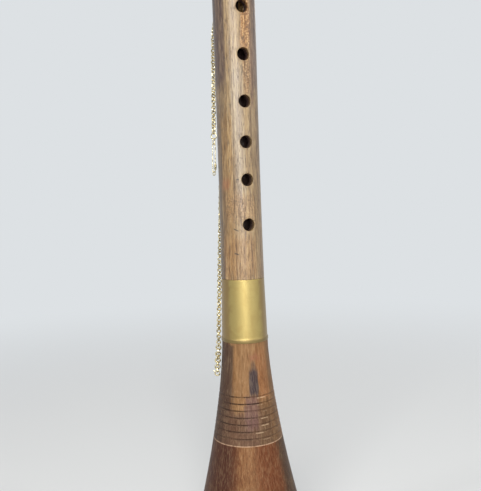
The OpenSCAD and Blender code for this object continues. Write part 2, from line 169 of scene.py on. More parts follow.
class Book:
    """The nodes of one material."""

    def __init__(self, name: str) -> None:
        """Makes an empty material of that name."""
        self.material = bpy.data.materials.new(name)
        self.material.use_nodes = True
        self.tree = self.material.node_tree
        self.tree.nodes.clear()

    def node(self, kind: str, settings: dict[str, object] | None = None,
             inputs: dict[int | str, object] | None = None, out: int | str = 0) -> Signal:
        """Adds any node.

        Args:
            kind: The node's type.
            settings: The node's own settings, which are set first. "stops" is a ramp's (place, colour) pairs.
            inputs: A value or a signal for each socket, by number or name.
            out: The output that is wanted.

        Returns:
            That output as a signal.
        """
        node = self.tree.nodes.new(kind)
        for name, value in (settings or {}).items():
            if name == "stops":
                self._set_stops(node, value)
            else:
                setattr(node, name, value)
        for key, value in (inputs or {}).items():
            if isinstance(value, Signal):
                self.tree.links.new(value.socket, node.inputs[key])
            else:
                node.inputs[key].default_value = value
        return Signal(self, node.outputs[out])

    @staticmethod
    def _set_stops(node: bpy.types.Node, stops: Sequence[tuple[float, Colour]]) -> None:
        """Gives a ramp its (place, colour) stops."""
        elements = node.color_ramp.elements
        while len(elements) < len(stops):
            elements.new(1.0)
        for element, (place, colour) in zip(elements, stops):
            element.position = place
            element.color = colour

    def place(self) -> Signal:
        """The point on the piece in millimetres, in the frame of the part at rest."""
        point = self.node("ShaderNodeTexCoord", out="Object")
        return self.vector("SCALE", point, scale=1 / MM)

    def vector(self, operation: str, first: Signal, second: object = (0, 0, 0), scale: float = 1.0) -> Signal:
        """The result of a Vector Math node."""
        inputs = {0: first, 3: scale} if operation == "SCALE" else {0: first, 1: second}
        return self.node("ShaderNodeVectorMath", {"operation": operation}, inputs)

    def axes(self, point: Signal) -> tuple[Signal, Signal, Signal]:
        """The x, y and z of a point."""
        split = self.node("ShaderNodeSeparateXYZ", inputs={0: point})
        node = split.socket.node
        return split, Signal(self, node.outputs[1]), Signal(self, node.outputs[2])

    def blend(self, share: object, first: object, second: object, way: str = "MIX") -> Signal:
        """Mixes two colours.

        Args:
            share: How much of the second colour shows.
            first, second: Colours or signals.
            way: The Mix node's way of blending.

        Returns:
            The mixed colour.
        """
        settings = {"data_type": "RGBA", "blend_type": way, "clamp_factor": True}
        return self.node("ShaderNodeMix", settings, {0: share, 6: first, 7: second}, out=2)

    def grain(self, point: Signal, across: float, along: float, detail: float = 2.0,
              seed: float = 0.0, wobble: float = 0.0) -> Signal:
        """Noise that is drawn out along the z axis.

        Args:
            point: Where the noise is read, in millimetres.
            across, along: The size of its features, across and along the z axis.
            detail: How many finer layers it has.
            seed: Moves the pattern, so that two grains differ.
            wobble: How much it is distorted.

        Returns:
            Noise around 0.5.
        """
        stretched = self.vector("MULTIPLY", point, (1 / across, 1 / across, 1 / along))
        moved = self.vector("ADD", stretched, (seed, 1.7 * seed, 0.6 * seed))
        inputs = {"Vector": moved, "Scale": 1.0, "Detail": detail, "Roughness": 0.55, "Distortion": wobble}
        return self.node("ShaderNodeTexNoise", {"noise_dimensions": "3D"}, inputs)

    def bump(self, height: Signal, depth: float, before: Signal | None = None) -> Signal:
        """The surface normal under a fine relief.

        Args:
            height: The relief, of 0 to 1.
            depth: How deep it is, in millimetres.
            before: A normal from a coarser relief.

        Returns:
            The normal.
        """
        inputs: dict[int | str, object] = {"Strength": 1.0, "Distance": depth * MM, "Height": height}
        if before is not None:
            inputs["Normal"] = before
        return self.node("ShaderNodeBump", inputs=inputs)

    def finish(self, sockets: dict[int | str, object]) -> bpy.types.Material:
        """Ends the material in one surface shader.

        Args:
            sockets: The shader's values and signals by socket name.

        Returns:
            The material.
        """
        surface = self.node("ShaderNodeBsdfPrincipled", inputs=sockets)
        self.node_output(surface)
        return self.material

    def node_output(self, surface: Signal) -> None:
        """Links a surface to the material's output."""
        end = self.tree.nodes.new("ShaderNodeOutputMaterial")
        self.tree.links.new(surface.socket, end.inputs["Surface"])


@dataclass(frozen=True)
class Patch:
    """A broad tinted place on the wood, with soft and ragged edges."""

    azimuth: float
    half_width: float
    low: float
    high: float
    colour: Colour
    strength: float
    soft: float = 9.0
    fade: float = 6.0
    scales: float = 0.0
    specks: float = 0.0
    stray: float = 0.16

    def mask(self, x: Signal, y: Signal, z: Signal, ragged: Signal) -> Signal:
        """Where the patch shows.

        Args:
            x, y: The level direction out from the axis, of length 1.
            z: The height in millimetres.
            ragged: Noise around 0 that roughens the edges.

        Returns:
            1 inside the patch and 0 outside.
        """
        height = z + ragged * (2 * self.fade)
        level = height.between(self.low, self.low + self.fade) * height.between(self.high, self.high - self.fade)
        if self.half_width >= 180:
            return level
        facing = direction(self.azimuth)
        toward = x * facing.x + y * facing.y + ragged * self.stray
        inner = math.cos(math.radians(self.half_width))
        outer = math.cos(math.radians(self.half_width + self.soft))
        return toward.between(outer, inner) * level


@dataclass(frozen=True)
class Ring:
    """A turned line around the wood, or around one side of it."""

    z: float
    half_width: float
    colour: Colour
    strength: float
    azimuth: float = 0.0
    spread: float = 180.0

    def mask(self, x: Signal, y: Signal, z: Signal, broken: Signal) -> Signal:
        """Where the line shows.

        Args:
            x, y: The level direction out from the axis, of length 1.
            z: The height in millimetres.
            broken: How much of the line is left in each place.

        Returns:
            The line's strength there.
        """
        near = abs(z - self.z).between(self.half_width, self.half_width * 0.4) * broken * self.strength
        if self.spread >= 180:
            return near
        facing = direction(self.azimuth)
        inner = math.cos(math.radians(self.spread * 0.6))
        outer = math.cos(math.radians(self.spread))
        return near * (x * facing.x + y * facing.y).between(outer, inner)


@dataclass(frozen=True)
class Nick:
    """A small dark mark in the wood."""

    azimuth: float
    z: float
    half_length: float
    half_width: float
    slope: float = 0.0

    def mask(self, x: Signal, y: Signal, z: Signal) -> Signal:
        """Where the mark shows, from the point on the wood in millimetres."""
        out, across = direction(self.azimuth), direction(self.azimuth + 90)
        side = x * across.x + y * across.y
        height = z - self.z - side * self.slope
        near = abs(side).between(self.half_length, self.half_length * 0.3)
        near = near * abs(height).between(self.half_width, self.half_width * 0.2)
        return near * (x * out.x + y * out.y).between(0, 1)


@dataclass(frozen=True)
class Wood:
    """Oiled wood with its grain along the z axis: bands, streaks, fibres and open pores."""

    name: str
    base: Colour
    second: Colour
    pore: Colour
    roughness: float
    shade: Colour = (0.42, 0.35, 0.29, 1.0)
    glint: Colour = (0.15, 0.11, 0.06, 1.0)
    # bore: the colour of the bore and the hole walls, partly the inner wood's darker tone and partly painted shade in
    # the holes
    bore: Colour = tone(66, 48, 48)
    bore_radius: float = 0.0
    gloss: float = 0.5
    period: float = 2.6
    pore_share: float = 0.6
    contrast: float = 1.0
    plank: float = -62.0
    patches: tuple[Patch, ...] = ()
    rings: tuple[Ring, ...] = ()
    nicks: tuple[Nick, ...] = ()

    def _patched(self, book: Book, point: Signal, colour: Signal, ragged: Signal) -> Signal:
        """Tints the patches, with their scales and specks.

        Args:
            book: The material's nodes.
            point: The point on the wood in millimetres.
            colour: The wood's colour so far.
            ragged: Noise around 0 that roughens the patches' edges.

        Returns:
            The tinted colour.
        """
        x, y, z = book.axes(point)
        radius = (x * x + y * y) ** 0.5
        out_x, out_y = x / radius, y / radius
        cells = {"Vector": point, "Scale": 0.95, "Randomness": 0.85}
        scales = book.node("ShaderNodeTexVoronoi", {"feature": "F1"}, cells)
        specks = book.grain(point, 0.5, 1.1, 2, seed=14.9, wobble=0.5)
        for patch in self.patches:
            mask = patch.mask(out_x, out_y, z, ragged)
            colour = book.blend(mask * patch.strength, colour, patch.colour)
            if patch.scales:
                lit = mask * scales.between(0.36, 0.14) * patch.scales
                bright = tuple(2 * channel for channel in self.glint[:3]) + (1.0,)
                colour = book.blend(lit, colour, bright, "SCREEN")
                rim = mask * scales.between(0.42, 0.62) * (0.75 * patch.scales)
                colour = book.blend(rim, colour, self.shade, "MULTIPLY")
            if patch.specks:
                colour = book.blend(mask * specks.between(0.42, 0.34) * patch.specks, colour, self.pore)
        return colour

    def _varied(self, book: Book, force: object, colour: Signal, noise_in: Signal, near: float, far: float) -> Signal:
        """Lets noise lighten and darken the colour.

        Args:
            book: The material's nodes.
            force: How much of it shows.
            colour: The wood's colour so far.
            noise_in: Noise around 0.5.
            near, far: How far from 0.5 the change begins and is full.

        Returns:
            The varied colour.
        """
        lit = noise_in.between(0.5 + near, 0.5 + far) * force
        colour = book.blend(lit, colour, self.glint, "SCREEN")
        return book.blend(noise_in.between(0.5 - near, 0.5 - far) * force, colour, self.shade, "MULTIPLY")

    def _lined(self, book: Book, point: Signal, colour: Signal, streaks: Signal) -> Signal:
        """Draws the turned lines and the nicks, and darkens the bore and the hole walls: partly the inner wood's own
        darker tone, partly painted shade in the holes.

        Args:
            book: The material's nodes.
            point: The point on the wood in millimetres.
            colour: The wood's colour so far.
            streaks: The noise that wears the lines.

        Returns:
            The colour with its lines.
        """
        x, y, z = book.axes(point)
        radius = (x * x + y * y) ** 0.5
        out_x, out_y = x / radius, y / radius
        broken = streaks.between(0.36, 0.52, 0.35, 1.0)
        for ring in self.rings:
            colour = book.blend(ring.mask(out_x, out_y, z, broken), colour, ring.colour)
        for nick in self.nicks:
            colour = book.blend(nick.mask(x, y, z) * 0.95, colour, self.pore)
        # Darkens the bore and the hole walls: partly the inner wood's darker tone, partly painted shade in the holes.
        if self.bore_radius:
            inside = radius.between(self.bore_radius + 4.6, self.bore_radius + 1.5)
            colour = book.blend(inside * 0.9, colour, self.bore)
        return colour

    def build(self) -> bpy.types.Material:
        """Makes the material."""
        book = Book(self.name)
        point = book.place()
        x, y, _ = book.axes(point)
        drift = book.grain(point, 7, 90, 2, seed=3.1)
        streaks = book.grain(point, 1.3, 42, 3, seed=7.7, wobble=0.4)
        figure = book.grain(point, 0.75, 7.5, 3, seed=12.4, wobble=0.3)
        fine = book.grain(point, 0.38, 6, 3, seed=1.3)
        fibres = book.grain(point, 0.16, 6, 2, seed=5.9)
        facing = direction(self.plank)
        depth = (x * facing.x + y * facing.y) / self.period + drift * 3.4 + streaks * 0.5
        year = depth.fraction()
        late = year.between(0.35, 0.93) * year.between(1.0, 0.93)
        force = self.contrast
        colour = book.blend(drift.between(0.38, 0.6), self.base, self.second)
        colour = self._patched(book, point, colour, streaks - 0.5)
        colour = self._varied(book, 0.55 * force, colour, streaks, 0.02, 0.16)
        colour = self._varied(book, 0.7 * force, colour, figure, 0.03, 0.16)
        colour = self._varied(book, 0.5 * force, colour, fine, 0.03, 0.16)
        colour = book.blend(late * (0.4 * force), colour, self.shade, "MULTIPLY")
        open_pores = book.grain(point, 0.34, 3.2, 1, seed=9.2).between(0.61, 0.67)
        open_pores = open_pores * drift.between(0.3, 0.6, 0.5, 1.0) * self.pore_share
        colour = book.blend(open_pores, colour, self.pore)
        colour = self._lined(book, point, colour, streaks)
        relief = fibres * 0.22 + fine * 0.3 + figure * 0.5 - open_pores * 0.9 - late * 0.2 + 0.8
        rough = self.roughness + open_pores * 0.25 + (fine - 0.5) * 0.3 + (figure - 0.5) * 0.35
        normal = book.bump(relief, 0.07)
        return book.finish({"Base Color": colour, "Roughness": rough, "Normal": normal,
                            "IOR": 1.5, "Specular IOR Level": self.gloss})


@dataclass(frozen=True)
class Brass:
    """Turned brass: fine lines around the z axis, dulled in places, and darkened by any patches of painted shade."""

    name: str
    bright: Colour
    dull: Colour
    roughness: float
    line: float = 0.11
    scratch: float = 0.35
    lacquer: float = 0.0
    shade_and_tarnish: tuple[Patch, ...] = ()

    def build(self) -> bpy.types.Material:
        """Makes the material."""
        book = Book(self.name)
        point = book.place()
        x, y, z = book.axes(point)
        radius = (x * x + y * y) ** 0.5
        lines = book.grain(point, 14, self.line, 3, seed=2.2)
        coarse = book.grain(point, 22, 0.9, 2, seed=8.1)
        cloud = book.grain(point, 5, 7, 4, seed=4.4, wobble=0.6)
        rubs = book.grain(point, 0.5, 6, 2, seed=6.6)
        colour = book.blend(cloud.between(0.4, 0.7) * 0.5, self.bright, self.dull)
        # Patches of painted shade that darken the brass.
        for patch in self.shade_and_tarnish:
            place = patch.mask(x / radius, y / radius, z, cloud - 0.5)
            colour = book.blend(place * patch.strength, colour, patch.colour)
        colour = book.blend(lines.between(0.5, 0.72) * 0.22, colour, self.dull)
        marks = rubs.between(0.66, 0.74) * self.scratch
        rough = self.roughness + (cloud - 0.5) * 0.12 + (coarse - 0.5) * 0.1 + marks * 0.16
        normal = book.bump(lines * 0.6 + coarse * 0.4 - marks * 0.5, 0.012)
        return book.finish({"Base Color": colour, "Metallic": 1.0, "Roughness": rough, "Normal": normal,
                            "Coat Weight": self.lacquer, "Coat Roughness": 0.34})


@dataclass(frozen=True)
class Gilt:
    """Pale gilt wire, rubbed bright in places, and dark in blots elsewhere, which are partly patina and partly
    painted shade and dark reflection between the links.
    """

    name: str
    bright: Colour
    worn: Colour
    shade_and_tarnish: Colour
    roughness: float
    shade_and_tarnish_share: float = 0.8

    def build(self) -> bpy.types.Material:
        """Makes the material."""
        book = Book(self.name)
        point = book.place()
        wear = book.grain(point, 1.6, 2.1, 2, seed=1.9)
        blots = book.grain(point, 0.8, 0.9, 2, seed=5.2, wobble=0.3)
        pits = book.grain(point, 0.22, 0.22, 2, seed=3.3)
        # Dark blots: partly patina, partly painted shade and dark reflection between the links.
        dark = blots.between(0.44, 0.6) * self.shade_and_tarnish_share
        colour = book.blend(wear.between(0.48, 0.66) * 0.7, self.bright, self.worn)
        colour = book.blend(dark, colour, self.shade_and_tarnish)
        rough = self.roughness + (wear - 0.4) * 0.16 + dark * 0.2
        return book.finish({"Base Color": colour, "Metallic": 1.0, "Roughness": rough,
                            "Normal": book.bump(pits, 0.012)})


@dataclass(frozen=True)
class Thread:
    """Waxed thread: twisted fibres, with painted shade between the turns of the twist."""

    name: str
    bright: Colour
    deep: Colour
    wax: Colour
    pitch: float

    def build(self) -> bpy.types.Material:
        """Makes the material."""
        book = Book(self.name)
        point = book.place()
        x, y, z = book.axes(point)
        turn = y.angle_from(x)
        lay = (turn * 34 + z * (2 * math.pi / self.pitch) * 1.6).sine()
        fuzz = book.grain(point, 0.16, 0.16, 3, seed=2.8)
        cloud = book.grain(point, 2.4, 1.6, 3, seed=6.1)
        # The twist's crests and hollows: the darker colour between the turns is painted shade.
        colour = book.blend(lay.between(-0.7, 0.8), self.deep, self.bright)
        colour = book.blend(cloud.between(0.52, 0.7) * 0.55, colour, self.wax)
        rough = 0.5 + fuzz * 0.25 - cloud.between(0.5, 0.7) * 0.15
        return book.finish({"Base Color": colour, "Roughness": rough,
                            "Normal": book.bump(lay * 0.3 + fuzz, 0.05), "Sheen Weight": 0.15})


@dataclass(frozen=True)
class Cane:
    """Golden cane: glossy bark at the foot, scraped pale wood with fine fibres at the mouth."""

    name: str
    bark: Colour
    scraped: Colour
    fibre: Colour
    stain: Colour
    scrape_z: float
    mouth_z: float

    def build(self) -> bpy.types.Material:
        """Makes the material."""
        book = Book(self.name)
        point = book.place()
        _, _, z = book.axes(point)
        fibres = book.grain(point, 0.2, 14, 2, seed=4.9)
        flecks = book.grain(point, 0.7, 3, 2, seed=8.8)
        bare = (z + (flecks - 0.5) * 3).between(self.scrape_z - 1.2, self.scrape_z + 1.2)
        colour = book.blend(bare, self.bark, self.scraped)
        colour = book.blend(fibres.between(0.5, 0.68) * 0.6, colour, self.fibre)
        colour = book.blend(flecks.between(0.64, 0.7) * 0.5, colour, self.fibre)
        colour = book.blend(z.between(self.mouth_z - 6, self.mouth_z) * 0.55, colour, self.stain)
        rough = bare * 0.25 + 0.34 + (fibres - 0.5) * 0.2
        return book.finish({"Base Color": colour, "Roughness": rough, "Normal": book.bump(fibres, 0.04)})


class Shape:
    """Points in millimetres and the faces between them, gathered for one piece."""

    def __init__(self) -> None:
        """Starts with nothing."""
        self.points: list[Vector] = []
        self.faces: list[tuple[int, ...]] = []

    def ring(self, points: Sequence[Vector]) -> list[int]:
        """Adds points and returns their numbers."""
        start = len(self.points)
        self.points.extend(Vector(p) for p in points)
        return list(range(start, len(self.points)))

    def skin(self, rings: Sequence[Sequence[int]], looped: bool = False, capped: bool = False) -> None:
        """Joins each closed ring of points to the next.

        Args:
            rings: Rings with the same number of points.
            looped: The last ring joins the first.
            capped: The first and the last ring get a flat face each.
        """
        ends = len(rings) if looped else len(rings) - 1
        count = len(rings[0])
        for i in range(ends):
            low, high = rings[i], rings[(i + 1) % len(rings)]
            for k in range(count):
                m = (k + 1) % count
                self.faces.append((low[k], low[m], high[m], high[k]))
        if capped:
            self.faces.append(tuple(reversed(rings[0])))
            self.faces.append(tuple(rings[-1]))

    def lathe(self, outline: Outline, columns: int = 96, sway: float = 0.0) -> None:
        """Turns a closed outline around the z axis.

        Args:
            outline: (radius, height) pairs.
            columns: How many steps the turn has.
            sway: How far the surface strays from round, as by hand.
        """
        rings = []
        for radius, z in outline:
            ring = []
            for k in range(columns):
                out = direction(360 * k / columns)
                stray = sway * noise.noise(out * 1.6 + Vector((0, 0, z * 0.035))) if sway else 0.0
                ring.append(out * (radius + stray) + UP * z)
            rings.append(self.ring(ring))
        self.skin(rings, looped=True)

    def sweep(self, path: Sequence[Vector], wide: float, tall: float | None = None, sides: int = 12,
              closed: bool = False, facing: Vector = UP, spin: float = 0.0,
              girth: Callable[[float], float] | None = None) -> None:
        """Draws a round or oval wire along a path.

        Args:
            path: The points of its middle.
            wide: Half its thickness in the plane of the path.
            tall: Half its thickness across that plane, the same if not given.
            sides: How many faces go around it.
            closed: The path ends where it starts.
            facing: A direction that the path never runs along, such as the normal of its plane.
            spin: How far the first face is turned around the wire, in degrees.
            girth: Scales the thickness at a share of 0 to 1 of the path.
        """
        tall = wide if tall is None else tall
        count = len(path)
        rings = []
        for i, point in enumerate(path):
            after = path[(i + 1) % count] if closed or i < count - 1 else point
            before = path[i - 1] if closed or i > 0 else point
            along = (after - before).normalized()
            side = facing.cross(along).normalized()
            over = along.cross(side)
            scale = girth(i / (count - 1)) if girth else 1.0
            ring = []
            for k in range(sides):
                turn = math.radians(360 * k / sides + spin)
                ring.append(point + (side * (wide * math.cos(turn)) + over * (tall * math.sin(turn))) * scale)
            rings.append(self.ring(ring))
        self.skin(rings, looped=closed, capped=not closed)


def soften(outline: Outline, radius: float, steps: int = 3, least: float = 20.0) -> Outline:
    """Rounds every sharp corner of a closed outline.

    Args:
        outline: (radius, height) pairs.
        radius: How far from the corner its rounding starts, at most.
        steps: How many stretches a rounding has.
        least: Corners that turn less than this many degrees stay.

    Returns:
        The rounded outline.
    """
    result: Outline = []
    count = len(outline)
    for i, corner in enumerate(outline):
        here = Vector((*corner, 0))
        back = Vector((*outline[i - 1], 0)) - here
        ahead = Vector((*outline[(i + 1) % count], 0)) - here
        if min(back.length, ahead.length) < 1e-6:
            continue
        if math.degrees(math.pi - back.angle(ahead)) < least:
            result.append(corner)
            continue
        reach = min(radius, back.length * 0.45, ahead.length * 0.45)
        start, end = here + back.normalized() * reach, here + ahead.normalized() * reach
        for k in range(steps + 1):
            t = k / steps
            p = start * (1 - t) ** 2 + here * (2 * t * (1 - t)) + end * t ** 2
            result.append((p.x, p.y))
    return result


def oval(length: float, width: float, wire: float, steps: int = 8) -> list[Pair]:
    """The middle line of an oval link, as (across, up) pairs.

    Args:
        length, width: Its outer sizes.
        wire: The thickness of its wire.
        steps: How many stretches each half round has.

    Returns:
        The points of the closed line.
    """
    bend = (width - wire) / 2
    straight = (length - width) / 2
    points = []
    for end in (1, -1):
        for k in range(steps + 1):
            turn = math.pi * k / steps + (0 if end > 0 else math.pi)
            points.append((bend * math.cos(turn), bend * math.sin(turn) + end * straight))
    return points


@dataclass(frozen=True)
class Stand:
    """A place on a hanging line: its point, the line's direction and an azimuth."""

    point: Vector
    along: Vector
    azimuth: float

    def put(self, across: float, up: float, out: float = 0.0) -> Vector:
        """A point in the upright plane of the azimuth, turned to lean with the line.

        Args:
            across: The distance along the azimuth.
            up: The distance up the line.
            out: The distance out of the plane.

        Returns:
            The point in the frame.
        """
        level = direction(self.azimuth)
        flat = level * across + UP * up + direction(self.azimuth + 90) * out
        flat.rotate(UP.rotation_difference(self.along))
        return self.point + flat

    def normal(self) -> Vector:
        """The normal of the plane."""
        return self.put(0, 0, 1) - self.point


class Joints:
    """Places and azimuths of the frame's joints, in millimetres and degrees."""

    def __init__(self, joints: list[dict]) -> None:
        """Keeps the joints by name."""
        self.by_name = {joint["name"]: joint for joint in joints}

    def place(self, name: str) -> Vector:
        """Where a joint turns."""
        return Vector(self.by_name[name]["pos_m"]) / MM

    def azimuth(self, name: str) -> float:
        """The azimuth in which a joint swings its body outwards."""
        x, y, _ = self.by_name[name]["axis"]
        return math.degrees(math.atan2(x, -y))


class Body(Enum):
    """The moving bodies of the frame."""

    BELL = "bell"
    TUBE = "tube"
    FORK = "fork"
    STAPLE = "staple"
    DISC = "disc"
    REED = "reed"
    RING = "ring"
    RUN_A = "run_a"
    RUN_A_LOW = "run_a_low"
    JUMP_RING = "jump_ring"
    PIN = "pin"
    END_RING = "end_ring"
    RUN_B = "run_b"
    RUN_B_LOW = "run_b_low"
    RUN_B_END = "run_b_end"
    CLASP = "clasp"
    LEVER = "lever"


class Slot(Enum):
    """The record's material slots."""

    TUBE_WOOD = "tube_wood"
    BELL_WOOD = "bell_wood"
    FORK_WOOD = "fork_wood"
    BAND_BRASS = "band_brass"
    STAPLE_BRASS = "staple_brass"
    CHAIN_METAL = "chain_metal"
    LAPPING = "lapping"
    CANE = "cane"


@dataclass
class Bench:
    """Where pieces are made: it turns shapes into objects and keeps one material for each slot."""

    finishes: dict[Slot, bpy.types.Material]
    made: list[str] = field(default_factory=list)

    def piece(self, name: str, shape: Shape, body: Body, slot: Slot, *nodes: str,
              crease: float = 38.0) -> bpy.types.Object:
        """Makes a piece that stands for CAD nodes.

        Args:
            name: The piece's name.
            shape: Its points and faces.
            body: The body that it rides on.
            slot: Its material slot.
            nodes: The CAD nodes that it replaces.
            crease: Edges that turn more than this many degrees stay sharp.

        Returns:
            The finished object.
        """
        mesh = bpy.data.meshes.new(name)
        mesh.from_pydata([p * MM for p in shape.points], [], shape.faces)
        work = bmesh.new()
        work.from_mesh(mesh)
        bmesh.ops.recalc_face_normals(work, faces=work.faces)
        work.to_mesh(mesh)
        work.free()
        mesh.shade_smooth()
        mesh.set_sharp_from_angle(angle=math.radians(crease))
        obj = bpy.data.objects.new(name, mesh)
        bpy.context.scene.collection.objects.link(obj)
        mesh.materials.append(self.finishes[slot])
        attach(obj, body.value)
        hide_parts(*nodes)
        self.made.append(name)
        log.info("%s: %d faces, rides on %s", name, len(mesh.polygons), body.value)
        return obj


@dataclass(frozen=True)
class PhotoCamera:
    """The photograph's viewpoint."""

    distance: float = 395.4
    aside: float = -0.7
    height: float = 218.4
    turn: float = 22.8
    dip: float = 5.225
    roll: float = -1.945
    focal_px: float = 700.0
    frame_px: float = 491.0
    sensor: float = 36.0

    def bearing(self) -> float:
        """The azimuth in which the camera looks."""
        return 90 - self.turn

    def build(self) -> bpy.types.Object:
        """Makes the camera and hands it to the scene."""
        ahead = direction(self.bearing())
        right = direction(self.bearing() - 90)
        dip, roll = math.radians(self.dip), math.radians(self.roll)
        forward = ahead * math.cos(dip) - UP * math.sin(dip)
        level_up = ahead * math.sin(dip) + UP * math.cos(dip)
        x_axis = right * math.cos(roll) + level_up * math.sin(roll)
        y_axis = level_up * math.cos(roll) - right * math.sin(roll)
        data = bpy.data.cameras.new("camera")
        data.sensor_width = self.sensor
        data.lens = self.focal_px / self.frame_px * self.sensor
        data.clip_start = 0.01
        data.clip_end = 50.0
        camera = bpy.data.objects.new("camera", data)
        bpy.context.scene.collection.objects.link(camera)
        turned = Matrix((x_axis, y_axis, -forward)).transposed().to_4x4()
        spot = (right * self.aside - ahead * self.distance + UP * self.height) * MM
        camera.matrix_world = Matrix.Translation(spot) @ turned
        bpy.context.scene.camera = camera
        return camera


@dataclass(frozen=True)
class Softbox:
    """A broad lamp that faces the middle of the zurna. Its side is counted from the camera, to the right."""

    name: str
    side: float
    elevation: float
    distance: float
    width: float
    height: float
    glow: float
    colour: Colour = (1.0, 1.0, 1.0, 1.0)

    def build(self, camera: PhotoCamera, target: Vector) -> None:
        """Makes the lamp.

        Args:
            camera: The camera, which the lamp's side is counted from.
            target: The point that it faces, in metres.
        """
        level = direction(camera.bearing() + 180 + self.side)
        lift = math.radians(self.elevation)
        out = level * math.cos(lift) + UP * math.sin(lift)
        data = bpy.data.lights.new(self.name, "AREA")
        data.shape = "RECTANGLE"
        data.size = self.width
        data.size_y = self.height
        data.color = self.colour[:3]
        data.energy = self.glow * self.width * self.height * math.pi
        lamp = bpy.data.objects.new(self.name, data)
        lamp.visible_camera = False
        bpy.context.scene.collection.objects.link(lamp)
        lamp.location = target + out * self.distance
        lamp.rotation_mode = "QUATERNION"
        lamp.rotation_quaternion = out.to_track_quat("Z", "Y")


@dataclass(frozen=True)
class Studio:
    """A plain pale floor, a pale backdrop and soft lamps."""

    backdrop: Colour = tone(221, 225, 228)
    room: Colour = tone(190, 196, 206)
    room_glow: float = 0.4
    floor: Colour = tone(226, 226, 224)
    floor_reach: float = 8.0
    near: float = 0.22
    far: float = 0.9
    target: Vector = field(default_factory=lambda: Vector((0, 0, 0.23)))
    lamps: tuple[Softbox, ...] = (
        Softbox("window_lamp", -8, 24, 1.3, 0.95, 0.95, 5.3, (1.0, 0.995, 0.965, 1.0)),
        Softbox("front_lamp", 11, 2, 1.25, 0.6, 0.35, 4.8),
        Softbox("right_lamp", 50, -2, 1.3, 0.75, 0.5, 1.2),
        Softbox("side_lamp", 84, 24, 1.35, 0.5, 0.9, 1.3),
        Softbox("top_lamp", 20, 84, 1.5, 1.2, 1.2, 0.9),
        Softbox("left_spot", -62, 48, 1.3, 0.14, 0.14, 22.0),
        Softbox("middle_spot", 8, 56, 1.3, 0.14, 0.14, 22.0),
        Softbox("right_spot", 66, 50, 1.3, 0.14, 0.14, 22.0),
        Softbox("back_lamp", 168, 32, 1.5, 0.8, 0.9, 2.4),
    )

    def _seen(self, book: Book) -> Signal:
        """1 for rays from the camera, or that a glossy or clear surface sends on."""
        rays = book.node("ShaderNodeLightPath")
        node = rays.socket.node
        glossy = Signal(book, node.outputs["Is Glossy Ray"])
        clear = Signal(book, node.outputs["Is Transmission Ray"])
        return (rays + glossy + clear).between(0, 1)

    def _sky(self) -> None:
        """Lights the room softly, and shows the backdrop behind the zurna."""
        world = bpy.data.worlds.new("room")
        bpy.context.scene.world = world
        world.use_nodes = True
        tree = world.node_tree
        tree.nodes.clear()
        book = Book("room_book")
        book.tree = tree
        seen = self._seen(book)
        room = tuple(channel * self.room_glow for channel in self.room[:3]) + (1.0,)
        colour = book.blend(seen, room, self.backdrop)
        light = book.node("ShaderNodeBackground", inputs={"Color": colour, "Strength": 1.0})
        end = tree.nodes.new("ShaderNodeOutputWorld")
        tree.links.new(light.socket, end.inputs["Surface"])

    def _floor(self) -> None:
        """Makes the floor, which keeps shadows near the zurna and melts into the backdrop further off."""
        mesh = bpy.data.meshes.new("floor")
        reach = self.floor_reach
        mesh.from_pydata([(-reach, -reach, 0), (reach, -reach, 0), (reach, reach, 0), (-reach, reach, 0)],
                         [], [(0, 1, 2, 3)])
        floor = bpy.data.objects.new("floor", mesh)
        bpy.context.scene.collection.objects.link(floor)
        book = Book("pale_floor")
        x, y, _ = book.axes(book.node("ShaderNodeTexCoord", out="Object"))
        away = ((x * x + y * y) ** 0.5).between(self.near, self.far)
        matt = book.node("ShaderNodeBsdfDiffuse", inputs={"Color": self.floor})
        glow = book.node("ShaderNodeEmission", inputs={"Color": self.backdrop, "Strength": 1.0})
        share = away * self._seen(book)
        book.node_output(book.node("ShaderNodeMixShader", inputs={0: share, 1: matt, 2: glow}))
        mesh.materials.append(book.material)

    def build(self, camera: PhotoCamera) -> None:
        """Makes the room, the floor and the lamps."""
        bpy.context.scene.view_settings.view_transform = "Standard"
        self._sky()
        self._floor()
        for lamp in self.lamps:
            lamp.build(camera, self.target)


@dataclass(frozen=True)
class Hole:
    """A round hole that goes through the tube's wall."""

    z: float
    azimuth: float
    radius: float


